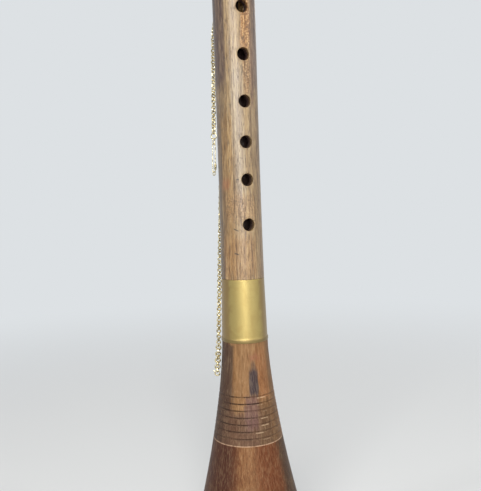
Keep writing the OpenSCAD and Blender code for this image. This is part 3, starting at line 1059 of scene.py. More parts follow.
@dataclass
class Bell:
    """The flared bell with its turned grooves, and the brass band around its neck."""

    height: float = 164.0
    mouth: float = 37.0
    rim: float = 3.6
    rim_round: float = 1.2
    flare: float = 1.5
    bore_flare: float = 1.75
    band_height: float = 35.5
    band_foot: float = 13.05
    band_top: float = 12.15
    band_wall: float = 0.6
    bead: float = 2.2
    bead_out: float = 0.35
    groove_low: float = 75.7
    groove_step: float = 3.8
    grooves: int = 7
    groove_half: float = 0.75
    groove_depth: float = 0.42
    scribe: float = 72.1
    bore: float = 6.5
    socket: float = 9.4
    socket_z: float = 133.7
    press: float = 0.02

    @property
    def band_z(self) -> float:
        """The height of the band's lower edge."""
        return self.height - self.band_height

    def outside(self, z: float) -> float:
        """The bell's outer radius at a height."""
        late = max(0.0, (self.band_z - z) / self.band_z) ** self.flare
        return self.band_foot + (self.mouth - self.band_foot) * late

    def inside(self, z: float) -> float:
        """The bell's inner radius at a height below the socket."""
        late = max(0.0, (self.socket_z - z) / self.socket_z) ** self.bore_flare
        return self.bore + (self.mouth - self.rim - self.bore) * late

    def groove_cut(self, z: float) -> float:
        """How deep the turner's tool went at a height."""
        cut = 0.0
        for i in range(self.grooves):
            off = (z - self.groove_low - i * self.groove_step) / self.groove_half
            if abs(off) < 1:
                cut = self.groove_depth * (1 - off * off) ** 0.6
            elif abs(off) < 1.45:
                cut = -0.05 * math.sin((abs(off) - 1) / 0.45 * math.pi)
        line = abs(z - self.scribe) / 0.4
        return max(cut, 0.16 * (1 - line * line)) if line < 1 else cut

    def wall_levels(self) -> list[float]:
        """The heights of the outside's points, close together where it is grooved."""
        first = self.scribe - 1.2
        last = self.groove_low + (self.grooves - 1) * self.groove_step + 1.6
        levels = [mix(self.rim_round, first, k / 26) for k in range(1, 26)]
        fine = int((last - first) / 0.14)
        levels += [mix(first, last, k / fine) for k in range(fine + 1)]
        levels += [mix(last, self.band_z, k / 16) for k in range(1, 17)]
        return levels

    def wood(self) -> Shape:
        """The turned wood."""
        core_top = self.band_top - self.band_wall - self.press
        core_foot = self.band_foot - self.band_wall - self.press
        lip = self.mouth - self.rim_round
        outline: Outline = [(lip - 1.0, 0.0), (lip, 0.0)]
        for turn in (-67.5, -45, -22.5, 0):
            out = direction(turn)
            outline.append((lip + self.rim_round * out.x, self.rim_round * (1 + out.y)))
        outline += [(self.outside(z) - self.groove_cut(z), z) for z in self.wall_levels()]
        outline += [(core_foot, self.band_z), (core_top, self.height), (self.socket + 0.4, self.height)]
        outline += [(self.socket, self.height - 0.5), (self.socket, self.socket_z + 0.2)]
        outline += [(self.socket - 0.2, self.socket_z), (self.bore + 0.3, self.socket_z)]
        outline += [(self.inside(z), z) for z in (mix(self.socket_z - 0.4, 1.0, k / 40) for k in range(41))]
        outline.append((self.mouth - self.rim + 0.7, 0.0))
        shape = Shape()
        shape.lathe(outline, columns=144, sway=0.07)
        return shape

    def band(self) -> Shape:
        """The brass band with its raised lower rim."""
        foot, top = self.band_foot, self.band_top
        slope = (top - foot) / self.band_height
        bead_top = self.band_z + self.bead
        outline: Outline = [
            (foot - self.band_wall, self.band_z),
            (foot + self.bead_out, self.band_z),
            (foot + self.bead_out, bead_top - 0.9),
            (foot + self.bead_out, bead_top - 0.5),
            (foot + slope * self.bead + 0.02, bead_top),
        ]
        outline += [(foot + slope * (self.bead + up), bead_top + up) for up in (1.2, 2.4, 30.6)]
        outline += [(top - slope * 0.5, self.height - 0.5), (top, self.height), (top - self.band_wall, self.height)]
        shape = Shape()
        shape.lathe(soften(outline, 0.28, 3), columns=128, sway=0.05)
        return shape

    def build(self, bench: Bench) -> None:
        """Makes the bell's pieces."""
        bench.piece("turned_bell", self.wood(), Body.BELL, Slot.BELL_WOOD, "bell")
        bench.piece("brass_band", self.band(), Body.BELL, Slot.BAND_BRASS, "bell_band", crease=50)


@dataclass
class Tube:
    """The wooden tube with its finger holes, tenon thread, collar and the eye for the chains."""

    joint: float = 164.0
    length: float = 232.0
    foot: float = 12.15
    waist: float = 11.65
    waist_up: float = 84.0
    head: float = 12.2
    bore: float = 6.5
    columns: int = 64
    hole_ups: tuple[float, ...] = (30.5, 55.2, 75.8, 97.7, 122.8, 148.0, 173.2)
    hole: float = 3.5
    thumb_up: float = 160.6
    rim: float = 0.24
    dish: float = 0.1
    tenon: float = 9.2
    tenon_length: float = 30.0
    lap_margin: float = 4.0
    lap_depth: float = 0.7
    lap_radius: float = 9.35
    collar_height: float = 18.0
    collar: float = 12.6
    collar_wall: float = 0.8
    socket: float = 9.45
    socket_depth: float = 30.0
    press: float = 0.02
    eye: float = 2.0
    eye_wire: float = 0.55

    @property
    def top(self) -> float:
        """The height of the head's end."""
        return self.joint + self.length

    def outside(self, z: float) -> float:
        """The tube's outer radius at a height, slimmest at its waist."""
        up = z - self.joint
        if up < self.waist_up:
            return self.waist + (self.foot - self.waist) * ((self.waist_up - up) / self.waist_up) ** 2
        return self.waist + (self.head - self.waist) * ((up - self.waist_up) / (self.length - self.waist_up)) ** 2

    def holes(self) -> list[Hole]:
        """The finger holes in front and the thumb hole behind, from the lowest up."""
        found = [Hole(self.joint + up, -90.0, self.hole) for up in self.hole_ups]
        found.append(Hole(self.joint + self.thumb_up, 90.0, self.hole))
        return sorted(found, key=lambda hole: hole.z)

    @staticmethod
    def levels(low: float, high: float, holes: Sequence[Hole], reach: float, rows: int) -> list[float]:
        """Heights from low to high, with even rows at each hole.

        Args:
            low, high: The first and last height.
            holes: The holes, from the lowest up.
            reach: How far the rows go above and below a hole's middle.
            rows: How many rows a hole has.

        Returns:
            The heights in order.
        """
        found = [low]
        for hole in holes:
            start = hole.z - reach
            steps = max(1, round((start - found[-1]) / 3.2))
            found += [mix(found[-1], start, (k + 1) / steps) for k in range(steps - 1)]
            found += [hole.z + reach * (2 * k / rows - 1) for k in range(rows + 1)]
        steps = max(1, round((high - found[-1]) / 3.2))
        last = found[-1]
        return found + [mix(last, high, (k + 1) / steps) for k in range(steps)]

    def wood(self) -> Shape:
        """The turned and bored wood. Each hole has a square window in the skin, filled by rings of faces."""
        shape = Shape()
        holes = self.holes()
        tenon_z = self.joint - self.tenon_length
        seat = self.collar - self.collar_wall - self.press
        shoulder = self.top - self.collar_height
        fork_z = self.top - self.socket_depth
        lap_low, lap_high = tenon_z + self.lap_margin, self.joint - self.lap_margin
        core = self.tenon - self.lap_depth
        outer = self.levels(self.joint + 0.25, shoulder, holes, 5.4, 16)
        inner = self.levels(tenon_z + 0.6, fork_z, holes, 5.0, 12)
        outline: Outline = [
            (self.bore + 0.5, tenon_z), (self.tenon - 0.5, tenon_z), (self.tenon, tenon_z + 0.6),
            (self.tenon, lap_low), (core, lap_low + 0.1), (core, lap_high - 0.1), (self.tenon, lap_high),
            (self.tenon, self.joint), (self.foot - 0.25, self.joint),
        ]
        first_outer = len(outline)
        outline += [(self.outside(z), z) for z in outer]
        outline += [(seat, shoulder + 0.05), (seat, self.top - 0.4), (seat - 0.4, self.top)]
        outline += [(self.socket + 0.5, self.top), (self.socket, self.top - 0.5), (self.socket, fork_z)]
        last_inner = len(outline) + len(inner) - 1
        outline += [(self.bore, z) for z in reversed(inner)]
        windows = []
        for hole in holes:
            low = first_outer + outer.index(hole.z - 5.4)
            high = last_inner - inner.index(hole.z - 5.0)
            windows.append((hole, low, high))
        self._fill(shape, outline, windows)
        return shape

    def _fill(self, shape: Shape, outline: Outline, windows: list[tuple[Hole, int, int]]) -> None:
        """Turns the outline with a window at each hole, and bridges the windows.

        Args:
            shape: What the wood is added to.
            outline: (radius, height) pairs.
            windows: For each hole, the outline's lowest row in its outer and its inner window.
        """
        rings = []
        for radius, z in outline:
            ring = []
            for k in range(self.columns):
                out = direction(360 * k / self.columns)
                stray = 0.05 * noise.noise(out * 1.4 + Vector((0, 0, z * 0.03))) if radius > 10 else 0.0
                ring.append(out * (radius + stray) + UP * z)
            rings.append(shape.ring(ring))
        left_out = set()
        edges = []
        for hole, low, high in windows:
            column = round(hole.azimuth / 360 * self.columns) % self.columns
            outer = self._window(rings, column, 6, [low + k for k in range(17)], left_out)
            inner = self._window(rings, column, 8, [high - k for k in range(13)], left_out)
            edges.append((hole, outer, inner))
        for i, ring in enumerate(rings):
            after = rings[(i + 1) % len(rings)]
            for k in range(self.columns):
                if (i, k) not in left_out:
                    m = (k + 1) % self.columns
                    shape.faces.append((ring[k], ring[m], after[m], after[k]))
        for hole, outer, inner in edges:
            self._bore_hole(shape, hole, outer, inner)

    def _window(self, rings: list[list[int]], column: int, half: int, rows: list[int],
                left_out: set[tuple[int, int]]) -> list[int]:
        """The points around a window, from the middle of its foot and towards growing azimuths.

        Args:
            rings: The turned rings.
            column: The column at the window's middle.
            half: How many columns it has on each side.
            rows: Its rings, from the lowest up.
            left_out: Takes the cells inside the window.

        Returns:
            The numbers of the points.
        """
        around = [(column + k) % self.columns for k in range(-half, half + 1)]
        for low, high in zip(rows, rows[1:]):
            for k in around[:-1]:
                left_out.add((min(low, high), k))
        foot = [rings[rows[0]][k] for k in around]
        right = [rings[r][around[-1]] for r in rows[1:-1]]
        head = [rings[rows[-1]][k] for k in reversed(around)]
        left = [rings[r][around[0]] for r in reversed(rows[1:-1])]
        loop = foot + right + head + left
        return loop[half:] + loop[:half]

    def _bore_hole(self, shape: Shape, hole: Hole, outer: list[int], inner: list[int]) -> None:
        """Fills a hole's two windows and joins them with its wall.

        Args:
            shape: What the faces are added to.
            hole: The hole.
            outer, inner: The points around its windows, both from the middle of the foot.
        """
        out, across = direction(hole.azimuth), direction(hole.azimuth + 90)
        count = len(outer)

        def spot(x: float, z: float, depth: float) -> Vector:
            """The point at x across and z above the hole's middle, at a depth out from the axis."""
            return out * depth + across * x + UP * (hole.z + z)

        def skin_depth(x: float, z: float) -> float:
            """The worn outer skin: it sinks a little towards the hole."""
            off = (math.hypot(x, z) - hole.radius) / 0.95
            return math.sqrt(self.outside(hole.z + z) ** 2 - x * x) - self.dish * math.exp(-off * off)

        def flat(number: int) -> tuple[float, float]:
            """A window point's place across and above the hole's middle."""
            point = shape.points[number]
            return point.dot(across), point.z - hole.z

        def circle(k: int, radius: float) -> tuple[float, float]:
            """The place of one of the hole's edge points."""
            turn = math.radians(360 * k / count - 90)
            return radius * math.cos(turn), radius * math.sin(turn)

        rows = [outer]
        mouth = hole.radius + self.rim
        for share in (0.4, 0.7, 0.88, 1.0):
            ring = []
            for k in range(count):
                (x0, z0), (x1, z1) = flat(outer[k]), circle(k, mouth)
                x, z = mix(x0, x1, share), mix(z0, z1, share)
                ring.append(spot(x, z, skin_depth(x, z)))
            rows.append(shape.ring(ring))
        for turn in (22.5, 45, 67.5, 90):
            curve = math.radians(turn)
            radius = hole.radius + self.rim * (1 - math.sin(curve))
            ring = []
            for k in range(count):
                x, z = circle(k, radius)
                edge_x, edge_z = circle(k, mouth)
                ring.append(spot(x, z, skin_depth(edge_x, edge_z) - self.rim * (1 - math.cos(curve))))
            rows.append(shape.ring(ring))
        for share in (0.3, 0.65):
            ring = []
            for k in range(count):
                x, z = circle(k, hole.radius)
                edge_x, edge_z = circle(k, mouth)
                start = skin_depth(edge_x, edge_z) - self.rim
                ring.append(spot(x, z, mix(start, math.sqrt(self.bore ** 2 - x * x), share)))
            rows.append(shape.ring(ring))
        for share in (0.0, 0.35, 0.7):
            ring = []
            for k in range(count):
                (x0, z0), (x1, z1) = flat(inner[k]), circle(k, hole.radius)
                x, z = mix(x1, x0, share), mix(z1, z0, share)
                ring.append(spot(x, z, math.sqrt(self.bore ** 2 - x * x)))
            rows.append(shape.ring(ring))
        rows.append(inner)
        shape.skin(rows)

    def thread(self) -> Shape:
        """The waxed thread in the tenon's groove."""
        low = self.joint - self.tenon_length + self.lap_margin + 0.1
        return windings(self.tenon - self.lap_depth + self.press, self.lap_radius, low,
                        self.joint - self.lap_margin - 0.1, 0.52)

    def brass_collar(self) -> Shape:
        """The collar with a turned line near each edge."""
        low = self.top - self.collar_height
        outline: Outline = [(self.collar - self.collar_wall, low), (self.collar, low)]
        for z in (low + 2.4, low + 3.6, self.top - 3.6, self.top - 2.4):
            outline += [(self.collar, z - 0.3), (self.collar - 0.22, z), (self.collar, z + 0.3)]
        outline += [(self.collar, self.top), (self.collar - self.collar_wall, self.top)]
        shape = Shape()
        shape.lathe(soften(outline, 0.2, 3), columns=96)
        return shape

    def screw_eye(self, joints: Joints) -> Shape:
        """The eye in the back of the head: a shank in the wood, and its wire bent into a ring."""
        azimuth = joints.azimuth("ring_swing")
        hang = joints.place("ring_swing")
        middle = direction(azimuth) * math.hypot(hang.x, hang.y) + UP * (self.top - self.collar_height / 2)
        stand = Stand(middle, UP, azimuth)
        shape = Shape()
        shank = [stand.put(mix(-6.4, -self.eye - 0.1, k / 6), 0) for k in range(7)]
        shape.sweep(shank, self.eye_wire, sides=16)
        loop = []
        for k in range(41):
            turn = math.radians(mix(176, -166, k / 40))
            loop.append(stand.put(self.eye * math.cos(turn), self.eye * math.sin(turn)))
        shape.sweep(loop, self.eye_wire, sides=16, facing=stand.normal())
        return shape

    def build(self, bench: Bench, joints: Joints) -> None:
        """Makes the tube's pieces."""
        bench.piece("turned_tube", self.wood(), Body.TUBE, Slot.TUBE_WOOD, "body_tube")
        bench.piece("tenon_thread", self.thread(), Body.TUBE, Slot.LAPPING, "tenon_lapping", crease=80)
        bench.piece("brass_collar", self.brass_collar(), Body.TUBE, Slot.BAND_BRASS, "head_collar", crease=50)
        bench.piece("screw_eye", self.screw_eye(joints), Body.TUBE, Slot.BAND_BRASS, "chain_eye")


def windings(inner: float, outer: float, low: float, high: float, pitch: float) -> Shape:
    """Thread wound in a tight helix around the z axis.

    Args:
        inner, outer: The radii inside and outside the winding.
        low, high: Its lowest and highest point.
        pitch: The distance between two turns.

    Returns:
        One closed skin whose outside has the thread's ridges.
    """
    columns, steps = 72, 6
    count = int((high - low) / pitch * steps)
    shape = Shape()
    rings = [shape.ring([direction(360 * k / columns) * inner + UP * low for k in range(columns)])]
    for i in range(count + 1):
        z = mix(low, high, i / count)
        ring = []
        for k in range(columns):
            phase = (z - low) / pitch - k / columns
            ridge = abs(math.sin(math.pi * phase)) ** 0.8
            end = min(1.0, (z - low) / pitch, (high - z) / pitch)
            radius = outer - (1 - ridge) * pitch * 0.34 - (1 - max(0.0, end)) * pitch * 0.5
            ring.append(direction(360 * k / columns) * max(radius, inner + 0.03) + UP * z)
        rings.append(shape.ring(ring))
    rings.append(shape.ring([direction(360 * k / columns) * inner + UP * high for k in range(columns)]))
    shape.skin(rings, looped=True)
    return shape


@dataclass
class Fork:
    """The turned fork: a flange on the head, a plug in its socket and two prongs in the bore."""

    head: float = 396.0
    flange: float = 11.2
    flange_height: float = 5.0
    plug: float = 9.4
    plug_depth: float = 29.7
    staple: float = 4.65
    staple_depth: float = 29.3
    prong_outer: float = 6.4
    prong_wall: float = 1.6
    prong_length: float = 60.0
    prong_arc: float = 70.0

    def plug_wood(self) -> Shape:
        """The turned flange and plug."""
        foot = self.head - self.plug_depth
        top = self.head + self.flange_height
        floor = top - self.staple_depth
        edge = self.flange
        outline: Outline = [
            (self.plug - 0.5, foot), (self.plug, foot + 0.6), (self.plug, self.head),
            (edge - 0.5, self.head), (edge, self.head + 0.5), (edge, self.head + 1.1),
            (edge - 0.7, self.head + 1.5),
        ]
        for turn in (-70, -35, 0, 35, 70):
            out = direction(turn)
            outline.append((edge - 1.0 + out.x, self.head + 2.7 + out.y))
        outline += [(edge - 1.5, self.head + 3.9), (edge - 3.0, top - 0.55), (edge - 4.6, top),
                    (self.staple + 0.5, top), (self.staple, top - 0.5), (self.staple, floor),
                    (self.prong_outer - self.prong_wall, floor), (self.prong_outer - self.prong_wall, foot)]
        shape = Shape()
        shape.lathe(soften(outline, 0.12, 2, 50), columns=96)
        return shape

    def prong(self, azimuth: float) -> Shape:
        """One prong, thinned and rounded towards its end.

        Args:
            azimuth: Where its middle stands.

        Returns:
            Its closed skin.
        """
        root = self.head - self.plug_depth + 1.2
        foot = self.head - self.plug_depth - 0.3 - self.prong_length
        shape = Shape()
        rings = []
        for k in range(29):
            share = k / 28
            z = mix(foot, root, share)
            tip = math.sqrt(max(0.0, 1 - (1 - min(1.0, share * 12)) ** 2))
            half = self.prong_arc / 2 * (0.55 + 0.45 * tip)
            wall = self.prong_wall * (0.45 + 0.55 * tip) * mix(0.82, 1.0, ease(share * 1.6))
            outer = self.prong_outer - 0.01 - (1 - tip) * 0.3
            ring = []
            for i in range(13):
                ring.append(direction(azimuth + mix(-half, half, i / 12)) * outer + UP * z)
            for i in range(13):
                ring.append(direction(azimuth + mix(half, -half, i / 12)) * (outer - wall) + UP * z)
            rings.append(shape.ring(ring))
        shape.skin(rings, capped=True)
        return shape

    def build(self, bench: Bench) -> None:
        """Makes the fork as one solid piece."""
        fork = bench.piece("turned_fork", self.plug_wood(), Body.FORK, Slot.FORK_WOOD, "fork_insert")
        for side in (0.0, 180.0):
            prong = bench.piece("prong", self.prong(side), Body.FORK, Slot.FORK_WOOD, "fork_insert")
            bench.made.pop()
            join(fork, prong)


def join(base: bpy.types.Object, extra: bpy.types.Object) -> None:
    """Makes extra part of base's solid and removes it."""
    modifier = base.modifiers.new("join", "BOOLEAN")
    modifier.operation = "UNION"
    modifier.solver = "EXACT"
    modifier.object = extra
    merged = bpy.data.meshes.new_from_object(base.evaluated_get(bpy.context.evaluated_depsgraph_get()))
    base.modifiers.clear()
    merged.name = base.name
    base.data = merged
    bpy.data.objects.remove(extra)


@dataclass
class Mouthpiece:
    """The brass staple with its thread, the loose lip disc, and the cane reed with its binding."""

    fork_top: float = 401.0
    foot_depth: float = 29.0
    foot: float = 3.9
    wall: float = 0.5
    thread: float = 4.6
    seat: float = 422.0
    seat_radius: float = 3.8
    neck: float = 2.7
    tip: float = 2.2
    reed: float = 432.5
    tip_top: float = 443.5
    disc: float = 19.0
    disc_thick: float = 1.6
    reed_length: float = 25.0
    reed_half: float = 4.75
    reed_thin: float = 0.55
    reed_foot: float = 3.0
    reed_foot_height: float = 7.0
    binding: float = 0.5
    press: float = 0.02

    def staple(self) -> Shape:
        """The tapered staple, swept in from its foot, with a ledge that carries the disc."""
        foot_z = self.fork_top - self.foot_depth
        ledge = self.seat - 1.2
        outline: Outline = [(self.foot - self.wall, foot_z), (self.foot, foot_z), (self.foot, self.fork_top + 2)]
        for k in range(1, 13):
            share = k / 12
            taper = mix(self.foot, self.neck + 0.3, math.sin(share * math.pi / 2) ** 1.1)
            outline.append((taper, mix(self.fork_top + 2, ledge - 1.6, share)))
        outline += [(self.seat_radius - 0.35, ledge - 0.5), (self.seat_radius, ledge), (self.seat_radius, self.seat),
                    (self.neck, self.seat), (self.neck, self.seat + self.disc_thick + 1.5),
                    (self.tip, self.reed - 1.55), (self.tip, self.tip_top),
                    (self.tip - self.wall, self.tip_top), (self.tip - self.wall, self.reed - 1.55),
                    (self.neck - self.wall, self.seat + self.disc_thick + 1.5), (self.neck - self.wall, ledge),
                    (self.foot - self.wall, self.fork_top + 2)]
        shape = Shape()
        shape.lathe(soften(outline, 0.16, 2, 25), columns=64)
        return shape

    def staple_thread(self) -> Shape:
        """The thread that seals the staple in the fork."""
        low = self.fork_top - self.foot_depth + 2
        return windings(self.foot + self.press, self.thread, low, low + self.foot_depth - 3, 0.5)

    def lip_disc(self) -> Shape:
        """The disc, with turned rings and a rolled edge."""
        low, high = self.seat, self.seat + self.disc_thick
        edge = self.disc - self.disc_thick / 2
        bore = self.neck + 0.06
        outline: Outline = [(bore, low), (edge - 1.6, low), (edge - 0.9, low)]
        for turn in (-90, -60, -30, 0, 30, 60, 90):
            out = direction(turn)
            outline.append((edge + 0.8 * out.x, (low + high) / 2 + 0.8 * out.y))
        outline += [(edge - 0.9, high), (edge - 1.5, high - 0.28)]
        for radius in (14.2, 13.2, 8.4):
            outline += [(radius + 0.45, high - 0.26), (radius, high - 0.48), (radius - 0.45, high - 0.26)]
        outline += [(6.6, high - 0.24), (5.9, high), (bore, high)]
        shape = Shape()
        shape.lathe(soften(outline, 0.12, 2, 25), columns=128)
        return shape

    def blade_ring(self, shape: Shape, z: float, inset: float, points: int = 56) -> list[int]:
        """One closed ring of the reed's flattened tube.

        Args:
            shape: What the points are added to.
            z: The ring's height.
            inset: How far inside the outer skin it lies.
            points: How many points it has.

        Returns:
            The numbers of the points.
        """
        share = max(0.0, (z - self.reed - self.reed_foot_height) / (self.reed_length - self.reed_foot_height))
        half = mix(self.reed_foot, self.reed_half, share) - inset
        thin = mix(self.reed_foot, self.reed_thin, 1 - (1 - share) ** 1.5) - inset * mix(1.0, 0.6, share)
        ring = []
        for k in range(points):
            turn = 2 * math.pi * k / points
            lens = abs(math.sin(turn)) ** (0.75 * share)
            ring.append(Vector((half * math.cos(turn), thin * math.sin(turn) * lens, z)))
        return shape.ring(ring)

    def cane(self) -> Shape:
        """The reed: a round foot on the staple, drawn out into two thin blades."""
        shape = Shape()
        top = self.reed + self.reed_length
        heights = [self.reed + 0.15 + (self.reed_length - 0.35) * k / 40 for k in range(41)]
        rings = [self.blade_ring(shape, self.reed, 0.25)]
        rings += [self.blade_ring(shape, z, 0.0) for z in heights]
        rings.append(self.blade_ring(shape, top - 0.02, 0.09))
        rings.append(self.blade_ring(shape, top - 0.02, 0.22))
        inside = [mix(top - 0.2, self.tip_top, k / 12) for k in range(13)]
        for z in inside:
            rings.append(self.blade_ring(shape, z, mix(0.3, 0.45, (top - z) / (top - self.tip_top))))
        bore = self.tip + 0.06
        for z in (self.tip_top - 0.1, self.reed + 3, self.reed):
            circle = [direction(360 * k / 56) * bore + UP * z for k in range(56)]
            rings.append(shape.ring(circle))
        shape.skin(rings, looped=True)
        return shape

    def reed_thread(self) -> Shape:
        """The thread that binds the reed to the staple."""
        low = self.reed + 0.5
        return windings(self.reed_foot + self.press, self.reed_foot + self.binding, low,
                        low + self.reed_foot_height - 1, 0.42)

    def build(self, bench: Bench) -> None:
        """Makes the mouthpiece's pieces."""
        bench.piece("brass_staple", self.staple(), Body.STAPLE, Slot.STAPLE_BRASS, "staple_tube")
        bench.piece("staple_thread", self.staple_thread(), Body.STAPLE, Slot.LAPPING, "staple_lapping", crease=80)
        bench.piece("turned_disc", self.lip_disc(), Body.DISC, Slot.STAPLE_BRASS, "lip_disc")
        bench.piece("cane_reed", self.cane(), Body.REED, Slot.CANE, "reed", crease=50)
        bench.piece("reed_thread", self.reed_thread(), Body.REED, Slot.LAPPING, "reed_binding", crease=80)


@dataclass(frozen=True)
class Link:
    """A chain link: the round size that sets its pitch, and its narrower drawn width."""

    size: float
    width: float
    wire: float
    slack: float = 0.04

    @property
    def pitch(self) -> float:
        """The distance between two links that hang taut."""
        return self.size - 2 * self.wire - self.slack


@dataclass
class Chains:
    """Two runs of fine cable chain from a split ring, one ending in a long loop and one in a clasp."""

    joints: Joints
    fine: Link = Link(2.85, 2.8, 0.6)
    heavy: Link = Link(3.5, 3.45, 0.8)
    heavy_count: int = 8
    bow: float = 1.15
    bow_azimuth: float = -22.8
    ring: float = 4.0
    ring_wire: float = 0.7
    ring_rise: float = 0.1475
    jump: float = 1.78
    jump_wire: float = 0.7
    loop_length: float = 17.0
    loop_width: float = 2.3
    loop_wire: float = 0.5
    link_length: float = 4.2
    link_width: float = 2.5
    sleeve_up: float = 3.2
    sleeve: float = 0.75
    sleeve_length: float = 3.6
    end_ring: float = 1.15
    clasp: float = 1.4
    clasp_wire: float = 0.42
    clasp_gap: Pair = (184.0, 132.0)
    knob_turn: float = 36.0
    knob: float = 0.3
    knob_length: float = 1.3

    def run(self, top: Vector, low: Vector, turns: Pair, link: Link, count: int = 0,
            bow: Vector | None = None) -> Shape:
        """A stretch of links, each across the last.

        Args:
            top, low: Its ends.
            turns: The azimuth of its links at the top and at the foot.
            link: The kind of link.
            count: How many links it has, or 0 for as many as fit.
            bow: How far it strays from the straight line just above its foot, if it isn't taut.

        Returns:
            The links.
        """
        def spot(share: float) -> Vector:
            """The point at a share of 0 to 1 of the way up."""
            straight = low.lerp(top, share)
            if bow is None:
                return straight
            return straight + bow * (1 - math.exp(-share / 0.05)) * (1 - math.exp((share - 1) / 0.25))

        length = (top - low).length
        count = count or 2 * math.ceil(length / (2 * link.pitch))
        rise = (link.size - link.wire) / 2
        line = oval(link.size, link.width, link.wire, 7)
        shape = Shape()
        for i in range(count):
            azimuth = mix(turns[1], turns[0], (i + 0.5) / count) + (90 if i % 2 == 0 else 0)
            azimuth += 24 * noise.noise(Vector((i * 0.73, length, link.size)))
            foot = spot(i / count)
            along = (spot((i + 1) / count) - foot).normalized()
            stand = Stand(foot + along * rise, along, azimuth)
            shape.sweep([stand.put(x, z) for x, z in line], link.wire / 2, sides=8, closed=True,
                        facing=stand.normal(), spin=22.5, girth=self.fuller_sides)
        return shape

    @staticmethod
    def fuller_sides(share: float) -> float:
        """The wire of a link is drawn thinner where it meets the next one."""
        return 1.0 + 0.4 * math.cos(2 * math.pi * share) ** 4

    def split_ring(self) -> Shape:
        """A ring of flat wire that goes round twice."""
        hang = self.joints.place("ring_swing")
        stand = Stand(hang - UP * self.ring, UP, self.joints.azimuth("ring_swing") + 90)
        path = []
        steps = 112
        for k in range(steps + 1):
            turn = math.radians(100 + 716 * k / steps)
            aside = mix(-0.17, 0.17, ease((k / steps - 0.42) / 0.16))
            path.append(stand.put(self.ring * math.cos(turn), self.ring * math.sin(turn), aside))
        shape = Shape()
        shape.sweep(path, self.ring_wire / 2, 0.16, sides=12, facing=stand.normal())
        return shape

    def on_pin(self, drop: float, across: float = 0.0) -> Stand:
        """A place on the line of the loop.

        Args:
            drop: How far it lies below the first run's end.
            across: How far its plane is turned from the run's azimuth.

        Returns:
            The place.
        """
        end = self.joints.place("jump_ring_swing")
        foot = self.joints.place("end_ring_swing")
        along = (end - foot).normalized()
        return Stand(end - along * drop, along, self.joints.azimuth("jump_ring_swing") + across)

    def drops(self) -> dict[str, float]:
        """How far below the first run's end each piece of the pin has its middle."""
        wire, slack = self.fine.wire, self.fine.slack
        jump = self.jump - (wire + self.jump_wire) / 2 - slack
        half_link = (self.link_length - wire) / 2
        half_loop = (self.loop_length - self.loop_wire) / 2
        link = 2 * jump + half_link
        loop = link + half_link - (wire + self.loop_wire) / 2 - slack + half_loop
        return {"jump": jump, "link": link, "loop": loop, "sleeve": loop + half_loop - self.sleeve_up,
                "ring": loop + half_loop - self.loop_wire - slack + self.end_ring}

    def round_ring(self, stand: Stand, radius: float, wire: float, gap: float = 0.0) -> Shape:
        """A ring of round wire in the plane of a place.

        Args:
            stand: Its middle.
            radius: The radius to the middle of the wire.
            wire: Half the wire's thickness.
            gap: The angle left open between the wire's ends, or 0 for none.

        Returns:
            The ring.
        """
        shape = Shape()
        steps = 48
        start = 20 + gap / 2
        path = []
        for k in range(steps if gap == 0 else steps + 1):
            turn = math.radians(start + (360 - gap) * k / steps)
            path.append(stand.put(radius * math.cos(turn), radius * math.sin(turn)))
        shape.sweep(path, wire, sides=14, closed=gap == 0, facing=stand.normal())
        return shape

    def drawn_link(self, stand: Stand, length: float, width: float, wire: float) -> Shape:
        """An oval link of round wire."""
        shape = Shape()
        line = oval(length, width, wire, 12)
        side = [(x, z) for x, z in line]
        fuller: list[Pair] = []
        for i, (x, z) in enumerate(side):
            fuller.append((x, z))
            next_x, next_z = side[(i + 1) % len(side)]
            steps = int(math.hypot(next_x - x, next_z - z) / 0.5)
            fuller += [(mix(x, next_x, k / steps), mix(z, next_z, k / steps)) for k in range(1, steps)]
        shape.sweep([stand.put(x, z) for x, z in fuller], wire / 2, sides=14, closed=True, facing=stand.normal())
        return shape

    def crimped_sleeve(self, stand: Stand) -> Shape:
        """The sleeve around one leg of the loop, pinched at both ends."""
        leg = (self.loop_width - self.loop_wire) / 2
        shape = Shape()
        rings = []
        columns = 28
        half = self.sleeve_length / 2
        for k in range(19):
            z = mix(-half, half, k / 18)
            radius = mix(0.46, self.sleeve, math.cos(z / half * math.pi / 2) ** 0.6)
            rings.append((radius, z))
        for radius, z in ((self.loop_wire / 2 + 0.02, half), (self.loop_wire / 2 + 0.02, -half)):
            rings.append((radius, z))
        numbers = []
        for radius, z in rings:
            ring = []
            for c in range(columns):
                turn = 2 * math.pi * c / columns
                ring.append(stand.put(-leg + radius * math.cos(turn), z, radius * math.sin(turn)))
            numbers.append(shape.ring(ring))
        shape.skin(numbers, looped=True)
        return shape

    def clasp_stand(self) -> Stand:
        """The clasp's middle and plane."""
        azimuth = self.joints.azimuth("clasp_swing")
        return Stand(self.joints.place("clasp_open"), UP, azimuth)

    def clasp_tube(self) -> Shape:
        """The clasp's bent tube, with a bead at each end."""
        stand = self.clasp_stand()
        start, end = self.clasp_gap[0], self.clasp_gap[1] + 360
        path = []
        for k in range(61):
            turn = math.radians(mix(start, end, k / 60))
            path.append(stand.put(self.clasp * math.cos(turn), self.clasp * math.sin(turn)))

        def bead(share: float) -> float:
            """Thickens the tube at its ends."""
            near = min(share, 1 - share) / 0.05
            return 1.0 + 0.1 * math.exp(-near * near)

        shape = Shape()
        shape.sweep(path, self.clasp_wire * 0.98, sides=18, facing=stand.normal(), girth=bead)
        return shape

